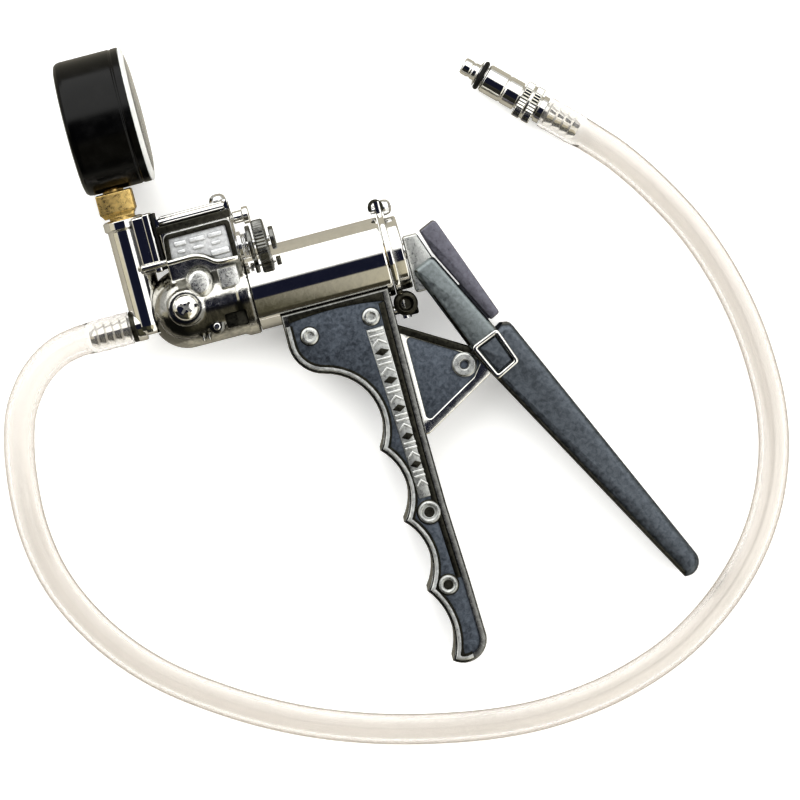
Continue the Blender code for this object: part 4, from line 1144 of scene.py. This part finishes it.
def build_case():
    """Black cup with a rolled front rim, and its brass stem."""
    depth = 20.7
    outside = [(0, 0.0), (18.9, 0.0), (20.2, 0.35), (20.9, 1.2), (21.1, 2.4), (21.1, 17.6), (20.85, 17.9)]
    outside += [(20.85, 18.3), (21.1, 18.6), (21.1, depth)]
    profile = outside + [(19.1, depth), (19.1, 1.6), (0, 1.6)]
    cup = turned(profile, CASE_PLACE, BACK, 128, edge=0.2)
    neck_room = peg(3.7, (GAUGE_X, 38, 0), (GAUGE_X, 50, 0), 0.05, 48)
    piece("gauge_cup", [(cut(cup, neck_room), BLACK)], ("gauge_case",))
    square = block((-38.9, 33.7, -5.6), (-27.7, 40.3, 5.6), 0.5)
    foot = lathe([(0, 32.4), (6.3, 32.4), (7.5, 33.9), (7.5, 34.4), (0, 34.4)], (GAUGE_X, 0, 0), UP, 4)
    there = Matrix.Translation((GAUGE_X, 0, 0))
    foot.transform(there @ Matrix.Rotation(math.radians(45), 4, "Y") @ there.inverted())
    shank = peg(4.0, (POST_X, 25.0, 0), (POST_X, 34, 0))
    neck = peg(3.3, (GAUGE_X, 39, 0), (GAUGE_X, 46, 0))
    socket = block((-37.3, 45.0, -4.0), (-29.3, 50.0, 4.0), 0.4)
    stem = merge(square, foot, shank, neck, socket)
    piece("gauge_brass_stem", [(stem, BRASS)], ("gauge_stem",))


def build_lens():
    """Clear front with a frosted rim that snaps into the case."""
    window = [(0, 23.0), (9.0, 22.85), (16.0, 22.5), (18.4, 22.1), (18.4, 20.7), (16.0, 20.9), (0, 21.3)]
    shape = turned(window, CASE_PLACE, BACK, 128, edge=0.1)
    rim = [(18.4, 22.1), (19.9, 21.9), (20.8, 21.6), (21.1, 21.3), (21.1, 20.9), (18.8, 20.9)]
    rim += [(18.8, 19.4), (17.7, 19.4), (17.7, 20.7), (18.4, 20.7)]
    ring = turned(rim, CASE_PLACE, BACK, 128, True, edge=0.1)
    piece("gauge_window", [(shape, LENS), (ring, LENS_RIM)], ("gauge_lens",))


def dial_mark(inner, outer, half, angle, front):
    """A flat bar on the dial, pointing outwards."""
    low, high = Vector(dial_point(inner, angle, 0)), Vector(dial_point(outer, angle, 0))
    side = (high - low).cross(Vector(BACK)).normalized() * half
    corners = [(c.y, c.z) for c in (low - side, low + side, high + side, high - side)]
    return plate(corners, front + 0.02, front + 0.09, 0.01, (), "YZ")


def build_dial():
    """White plate with a scale of ticks and plain numbers."""
    front = CASE_BACK + 18.4
    axle = circle((GAUGE_Y, 0), 1.0, 24)
    disc = plate(circle((GAUGE_Y, 0), 18.8, 96), front - 0.4, front, 0.08, [axle], "YZ")
    marks = []
    for number in range(31):
        bar = (13.2, 16.8, 0.28) if number % 5 == 0 else (14.8, 16.8, 0.14)
        marks.append(dial_mark(*bar, SCALE_SWEEP * number / 30, front))
    ring, hole = circle((GAUGE_Y, 0), 17.2, 96), circle((GAUGE_Y, 0), 16.8, 96)
    marks.append(plate(ring, front + 0.02, front + 0.09, 0.01, [hole], "YZ"))
    for number in range(7):
        marks.append(numeral(str(number * 5), dial_point(10.6, SCALE_SWEEP * number / 6, front + 0.02)))
    piece("gauge_scale", [(disc, WHITE), (merge(*marks), INK)], ("gauge_dial",))


def build_pointer():
    """Flat hand, drawn at the zero mark."""
    swing = math.radians(POINTER_REST)
    outline = [(-5.0, -1.1), (-5.0, 1.1), (0.0, 1.6), (12.5, 0.7), (15.5, 0.0), (12.5, -0.7), (0.0, -1.6)]
    hand = []
    for ahead, beside in outline:
        y = GAUGE_Y + ahead * math.cos(swing) - beside * math.sin(swing)
        hand.append((y, ahead * math.sin(swing) + beside * math.cos(swing)))
    shape = plate(hand, -22.3, -22.0, 0.08, [circle((GAUGE_Y, 0), 0.8, 24)], "YZ")
    piece("gauge_hand_blade", [(shape, BLACK)], ("gauge_pointer",), "gauge_hand")


def numeral(text, centre):
    """Plain figures standing upright on the dial."""
    data = bpy.data.curves.new("numeral", "FONT")
    data.body = text
    data.size = 3.6
    data.extrude = 0.035
    data.align_x = "CENTER"
    data.align_y = "CENTER"
    bm = solid_of(data)
    upright = Matrix(((0, 0, 1, 0), (0, 1, 0, 0), (-1, 0, 0, 0), (0, 0, 0, 1)))
    bm.transform(Matrix.Translation(centre) @ upright)
    return bm


# ---------------------------------------------------------------- cylinder


def build_cylinder():
    """Plated tube, and the rear flange with its screws."""
    tube = [(12.4, TUBE_FRONT), (12.4, 42.2), (12.25, TUBE_BACK), (10.9, TUBE_BACK), (10.9, TUBE_FRONT)]
    shape = turned(tube, ORIGIN, BACK, 160, True, edge=0.15)
    piece("pump_tube", [(shape, NICKEL)], ("cylinder_tube",))
    outline = [(17, -3), (17, 3), (13.26, 3)] + arc((13.26, 3), (0, 13.6), (-13.0, 4), 32)
    outline += [(-20, 4), (-20, -4), (-13.0, -4)] + arc((-13.0, -4), (0, -13.6), (13.26, -3), 32)[:-1]
    flange = plate(outline, 43.1, 45.0, 0.35, (), "YZ")
    boss_profile = [(3.1, 48.5), (3.1, 44.6), (11.4, 44.6), (11.4, 48.1), (11.0, 48.5)]
    boss = turned(boss_profile, ORIGIN, BACK, 96, True, edge=0.3)
    # A thin dark hook beside the top screw is painted shade on the flange's lug.
    hook = []
    for step in range(25):
        angle = math.radians(-35 + 235 * step / 24)
        hook.append((43.4 + 1.9 * math.cos(angle), 15.2 + 2.1 * math.sin(angle), 2.2))
    lug = sweep(hook, [0.55] * len(hook), None, 16)
    nut = [(0, 4.0), (1.6, 4.0), (2.4, 5.0), (3.5, 4.6), (3.7, 3.6), (3.7, -4.6), (0, -4.6)]
    nut = turned(nut, (45.0, -15.6, 0), OUT, 48)
    piece("rear_flange", [(merge(flange, boss), NICKEL), (merge(lug, nut), DARK_STEEL_AND_SHADE)], ("rear_cap",))
    head = [(0, 3.2), (1.3, 3.0), (2.2, 2.3), (2.5, 1.2), (2.5, 0.3), (1.2, 0.3), (1.2, -3.6), (0, -3.6)]
    screw = turned(head, (45.0, 14.6, 0), BACK, 48, edge=0.12)
    piece("flange_screw", [(screw, STEEL)], ("lug_screw",))
    hex_head = lathe([(0, 3.3), (2.2, 3.3), (2.6, 2.9), (2.6, 0.3), (0, 0.3)], GRIP_BOLT, BACK, 6)
    washer = turned([(0, 0.9), (3.1, 0.9), (3.1, 0.3), (0, 0.3)], GRIP_BOLT, BACK, 48, edge=0.1)
    shank = peg(1.4, (37.2, -17, 0), (46, -17, 0), 0.1)
    piece("grip_bolt", [(merge(washer, shank), STEEL), (hex_head, DARK_STEEL_AND_SHADE)], ("grip_screw",))


def build_rod():
    """Piston rod, its end block and the pin that the lever pulls."""
    rod = turned([(0, 52.6), (2.2, 52.6), (2.5, 52.3), (2.5, 6.1), (0, 6.1)], ORIGIN, BACK, 64)
    piece("rod", [(rod, STEEL)], ("piston_rod",), "piston_unit")
    outline = [(48.9, -13.2), (48.9, 3.9), (49.4, 4.4), (53.6, 4.4), (56.7, -4.5), (57.0, -13.2)]
    bar = plate(rounded(outline, 0.8), -4.6, 4.6, 0.5)
    piece("rod_block", [(bar, PALE_SATIN)], ("rod_end",), "piston_unit")
    pin = peg(1.6, (*ROD_PIN, -6.1), (*ROD_PIN, 6.1), 0.2)
    piece("rod_cross_pin", [(pin, STEEL)], ("rod_pin",), "piston_unit")
    spring("piston_spring", "return_spring", ORIGIN, 7.2, 0.6, (14.4, 39.0), 6.0)


# ---------------------------------------------------------------- grip


def grip_outline():
    """Four finger hollows at the front, a straight back and a rounded end."""
    points = [(40.9, -9.3), (6.8, -9.3), (6.8, -19.7)]
    for middle, end, count in (
        ((9.4, -26.2), (15.4, -29.9), 8),
        ((28.0, -41.5), (25.9, -57.0), 14),
        ((31.1, -68.2), (27.4, -80.1), 12),
        ((32.6, -91.5), (29.0, -102.6), 12),
        ((33.5, -114.0), (31.1, -125.4), 12),
        ((37.6, LOWEST_Y), (43.1, -120.1), 12),
    ):
        points += arc(points[-1], middle, end, count)
    return points + [(42.5, -102.3), (41.3, -77.6), (40.9, -56.0)]


UPPER_RIVETS = ((13.9, -17.6), (33.6, -16.6))
LOWER_RIVETS = ((35.7, -79.2), (35.7, -102.3))
SEAT_RADII = (3.0, 2.9, 3.9, 3.4)
LOWER_HEADS = (3.5, 3.0)
STRIP = ((33.85, -20.2), (35.9, -74.5))
STRIP_MARKS = 17


def strip_marks(side):
    """Raised strip down the grip, and on it a row of plain shapes in place of lettering."""
    start, end = Vector(STRIP[0]), Vector(STRIP[1])
    ahead = (end - start).normalized()
    across = Vector((-ahead.y, ahead.x))
    strip = [start + across * 2.8, start - across * 2.8, end - across * 2.2, end + across * 2.2]
    base = side_plate(side, strip, 8.2, 9.0, 0.35)
    marks, inlays = [], []
    for number in range(STRIP_MARKS):
        middle = start.lerp(end, 0.03 + 0.94 * number / STRIP_MARKS)
        wide = 2.4 - 0.04 * number
        bars = [[(1, a), (-1, a), (-1, b), (1, b)] for a, b in ((-1.25, -0.5), (0.35, 1.1))]
        chevron = [[(1, 1.2), (0, -0.5), (-1, 1.2), (-1, 0.4), (0, -1.3), (1, 0.4)]]
        lozenge = [[(1, 0), (0, 1.2), (-1, 0), (0, -1.2)]]
        row = inlays if number % 3 == 2 else marks
        for corners in (bars, chevron, lozenge)[number % 3]:
            loop = [middle + across * wide * beside + ahead * further for beside, further in corners]
            row.append(side_plate(side, loop, 8.8, 9.4, 0.22))
    return base, merge(*marks), merge(*inlays)


def front_only():
    """Tools that keep only the finger side of a shape that follows the grip's outline."""
    return block((37.6, -126, -14), (50, -5, 14), 0.1), block((0, -13.2, -14), (50, 5, 14), 0.1)


def finger_side_trim(side, outline, window):
    """Bead on the rim, pale as a painted highlight, and dark groove inside it, along the finger hollows."""
    hole = side_plate(side, window, 6.0, GRIP_HALF + 2.25, 0.05)
    bead = side_plate(side, inner_loop(outline, 0.75), 8.0, GRIP_HALF + 0.25, 0.5)
    middle = side_plate(side, inner_loop(outline, 2.75), 6.0, 10.75, 0.05)
    groove = side_plate(side, inner_loop(outline, 1.7), 8.0, 8.75, 0.05)
    return cut(bead, hole, *front_only()), cut(groove, middle, *front_only())


def build_grip():
    """Two shells: a polished rim round a sunken satin panel, riveted together."""
    outline = grip_outline()
    window = [point for point in inner_loop(outline, 2.0) if point[1] < -13.0]
    window = [(38.9, -10.1), (8.8, -10.1), (8.8, -13.0)] + window
    back = [(36.8, -13.2), (36.8, -56.0), (37.3, -77.0), (38.5, -101.0), (40.2, -101.0), (39.2, -77.0)]
    back += [(38.8, -56.0), (38.8, -12.9)]
    band = [(8.3, -9.8), (8.3, -12.4)] + arc((8.3, -12.4), (23.0, -11.4), (39.0, -12.9), 12) + [(39.0, -9.8)]
    for side, name in SIDES:
        core = side_plate(side, inset(outline, 0.5), 0.15, 8.6, 0.3)
        hole = side_plate(side, window, -1.85, GRIP_HALF + 2, 0.05)
        rim = cut(side_plate(side, outline, 0.15, GRIP_HALF, 0.7), hole)
        # The dark band along the top is painted shadow cast by the cylinder onto the grip.
        top = side_plate(side, band, 5.0, 9.2)
        spine = side_plate(side, back, 6.0, 9.1)
        bead, groove = finger_side_trim(side, outline, window)
        shapes = []
        for shape in (core, rim, top, spine):
            saddle = peg(TUBE_RADIUS + 0.3, ORIGIN, (50, 0, 0), 0.05, 128)
            bracket_room = block((37.4, -57.0, -5.2), (45, -20.2, 5.2), 0.1)
            shapes.append(cut(shape, saddle, bracket_room))
        core, rim, top, spine = shapes
        strip, marks, inlays = strip_marks(side)
        seats = []
        for (x, y), radius in zip(UPPER_RIVETS + LOWER_RIVETS, SEAT_RADII):
            seats.append(peg(radius, (x, y, side * 7.0), (x, y, side * 9.1), 0.4))
        dark = merge(top, spine, groove, inlays, *seats)
        # The bead's pale colour along the finger hollows is a painted highlight.
        parts = [(core, PANEL), (rim, DARK_CHROME), (bead, BEAD), (dark, DARK_STEEL_AND_SHADE)]
        parts += [(strip, PALE_SATIN), (marks, BEAD)]
        piece(f"grip_shell_{name}", parts, (f"grip_half_{name}",))


def build_rivets():
    """Two solid rivets at the top of the grip and two tubular ones lower down."""
    profile = [(0, 9.45), (1.1, 9.5), (1.5, 9.9), (2.2, 9.85), (2.7, 9.5), (2.7, 9.1), (1.5, 9.1)]
    for number, place in enumerate(UPPER_RIVETS, 1):
        shape = turned(mirrored(profile), (*place, 0), OUT, 48, edge=0.1)
        piece(f"rivet_upper_{number}", [(shape, PALE_SATIN)], (f"upper_rivet_{number}",))
    for number, place in enumerate(LOWER_RIVETS, 1):
        head = LOWER_HEADS[number - 1]
        profile = mirrored([(head - 0.4, 9.9), (head, 9.5), (head, 9.2), (1.6, 9.2)])
        profile += [(head - 1.0, -9.9), (head - 1.5, -9.4), (head - 1.5, 9.4), (head - 1.0, 9.9)]
        shape = turned(profile, (*place, 0), OUT, 48, True, edge=0.12)
        core = peg(head - 1.6, (*place, -8.6), (*place, 8.6), 0.3)
        parts = [(shape, PALE_SATIN), (core, DARK_STEEL_AND_SHADE)]
        piece(f"rivet_lower_{number}", parts, (f"lower_rivet_{number}",))


def build_bracket():
    """Forked bracket with thick edges round a sunken web, and the lever's pivot."""
    corners = [(37.6, -20.6), (40.7, -21.6), (69.6, -38.9), (64.9, -43.0), (42.2, -56.1), (37.6, -56.6)]
    outline = rounded(corners, [0, 1.0, 1.6, 2.0, 1.0, 0])
    pocket = rounded([(42.4, -25.2), (59.5, -35.6), (62.6, -38.6), (59.5, -42.6), (42.4, -52.4)], 1.0)
    web = plate(inset(outline, 0.6), -4.2, 4.2, 0.2)
    fork = block((47.5, -60, -2.8), (75, -15, 2.8), 0.1)
    edges = both_sides(outline, 2.9, 4.9, 0.45, [pocket])
    # A dark strip along the top edge is painted shade on the edge's shadow side.
    strip = [(40.2, -21.9), (41.0, -21.7), (69.2, -38.7), (67.6, -40.0), (40.2, -23.6)]
    painted_shade_tops = both_sides(strip, 3.0, 5.1, 0.2)
    parts = [(cut(web, fork), PANEL), (edges, CHROME_RIM), (painted_shade_tops, DARK_STEEL_AND_SHADE)]
    piece("fork_bracket", parts, ("pivot_bracket",))
    profile = [(1.2, 6.1), (1.6, 6.6), (3.3, 6.6), (3.85, 6.1), (3.85, 4.6), (2.3, 4.6)]
    shape = turned(mirrored(profile), (*PIVOT, 0), OUT, 64, True, edge=0.15)
    piece("pivot_tube", [(shape, PALE_SATIN)], ("pivot_pin",))


# ---------------------------------------------------------------- lever


WINDOW = [(62.6, -34.1), (69.2, -31.4), (72.6, -40.6), (66.9, -43.4)]


def build_cheeks():
    """The upper lever's two side plates, let into the lower lever's window, and the strap behind."""
    corners = [(49.3, -6.2), (56.6, -3.3), (68.4, -26.9), (73.0, -36.5), (73.4, -44.8), (66.4, -44.8)]
    outline = rounded(corners + [(60.3, -33.2)], [1.8, 1.8, 0, 1.8, 1.8, 1.8, 0], 5)
    strip = [(50.0, -6.4), (51.3, -6.2), (61.9, -33.0), (60.4, -33.0)]
    for side, name in SIDES:
        sheet = side_plate(side, outline, 5.2, 7.2, (0.25, 1.6))
        tenon = side_plate(side, rounded(inset(WINDOW, 0.45), 0.4), 6.7, 9.0, 0.3)
        # A dark strip along the cheek's left edge is painted shade on its shadowed side wall.
        shade_strip = side_plate(side, strip, 5.5, 7.1, (0.2, 0.8))
        parts = [(sheet, CHEEK), (tenon, LEVER), (shade_strip, DARK_STEEL_AND_SHADE)]
        piece(f"cheek_{name}", parts, (f"lever_cheek_{name}",), "lever")
    corners = [(54.6, 4.9), (60.0, 7.3), (72.1, -25.4), (68.9, -26.9), (57.05, -3.1)]
    strap = rounded(corners, [0.6, 1.2, 0.8, 0.6, 0.6], 5)
    tongue = plate([(60.2, -15.0), (63.8, -14.0), (69.4, -26.0), (65.6, -27.6)], -4.9, 4.9, 0.3)
    back = merge(plate(strap, -7.2, 7.2, 0.5), tongue)
    piece("strap", [(back, STRAP)], ("lever_spine",), "lever")


def build_lever():
    """Lower lever: a channel with a framed window in each side, an arm and the pivot's lug."""
    corners = [(59.9, -33.9), (68.9, -30.6), (71.6, -29.0), (74.6, -29.4), (111.9, -112.4)]
    tip = arc((111.9, -112.4), (110.9, -117.3), (106.7, -118.5), 12)
    outline = rounded(corners + tip, [2.1, 0.4, 0, 2.1] + [0] * (1 + len(tip)), 4)
    handle = plate(outline, -LEVER_HALF, LEVER_HALF, 2.0)
    hollow = [(50.0, -30.0), (58.0, -20.0), (71.8, -26.0), (72.6, -33.2), (106.4, -108.6), (100, -118)]
    channel = plate(hollow + [(90, -110)], -7.5, 7.5, 0.05)
    handle = cut(handle, channel, plate(rounded(WINDOW, 0.6), -12, 12, 0.05))
    # Dark strips along the left edge are painted shade on the channel's shadowed side wall.
    strip = [(60.5, -34.8), (62.1, -34.6), (108.0, -117.2), (106.8, -118.2)]
    shade_strips = both_sides(strip, 8.4, 9.85, (0.2, 1.1))
    frames = both_sides(rounded(inset(WINDOW, -1.3), 1.2), 9.2, 10.6, 0.45, [rounded(WINDOW, 0.5)])
    lug = turned([(2.6, 2.5), (4.4, 2.5), (4.4, -2.5), (2.6, -2.5)], (*PIVOT, 0), OUT, 64, True)
    arm = plate([(61.0, -35.6), (74.0, -36.0), (78.0, -45.0), (61.0, -41.6)], -2.5, 2.5, 0.2)
    parts = [(merge(handle, lug, arm), LEVER), (frames, CHROME_RIM), (shade_strips, DARK_STEEL_AND_SHADE)]
    piece("lever_channel", parts, ("lever_handle",), "lever")


# ---------------------------------------------------------------- the scene


def dress_nodes():
    """Better materials for the CAD nodes that stay."""
    looks = {name: look for look, names in NODE_LOOKS.items() for name in names}
    plain = {"nickel": NICKEL, "satin_steel": LEVER, "bright_steel": STEEL, "brass": BRASS}
    plain.update(black_plastic=BLACK, white_plate=WHITE, rubber=RUBBER, clear=LENS)
    slots = {row["node"]: row["material_slot"] for row in frame["record"]["subparts"]}
    for name, node in frame["nodes"].items():
        look = looks.get(name, plain[slots[name]])
        node.data.materials.clear()
        node.data.materials.append(look)


build_studio()
build_cord()
build_head()
build_valve_screw()
build_manifold()
build_barb()
build_cover()
build_valve_housing()
build_release()
build_case()
build_lens()
build_dial()
build_pointer()
build_cylinder()
build_rod()
build_grip()
build_rivets()
build_bracket()
build_cheeks()
build_lever()
dress_nodes()
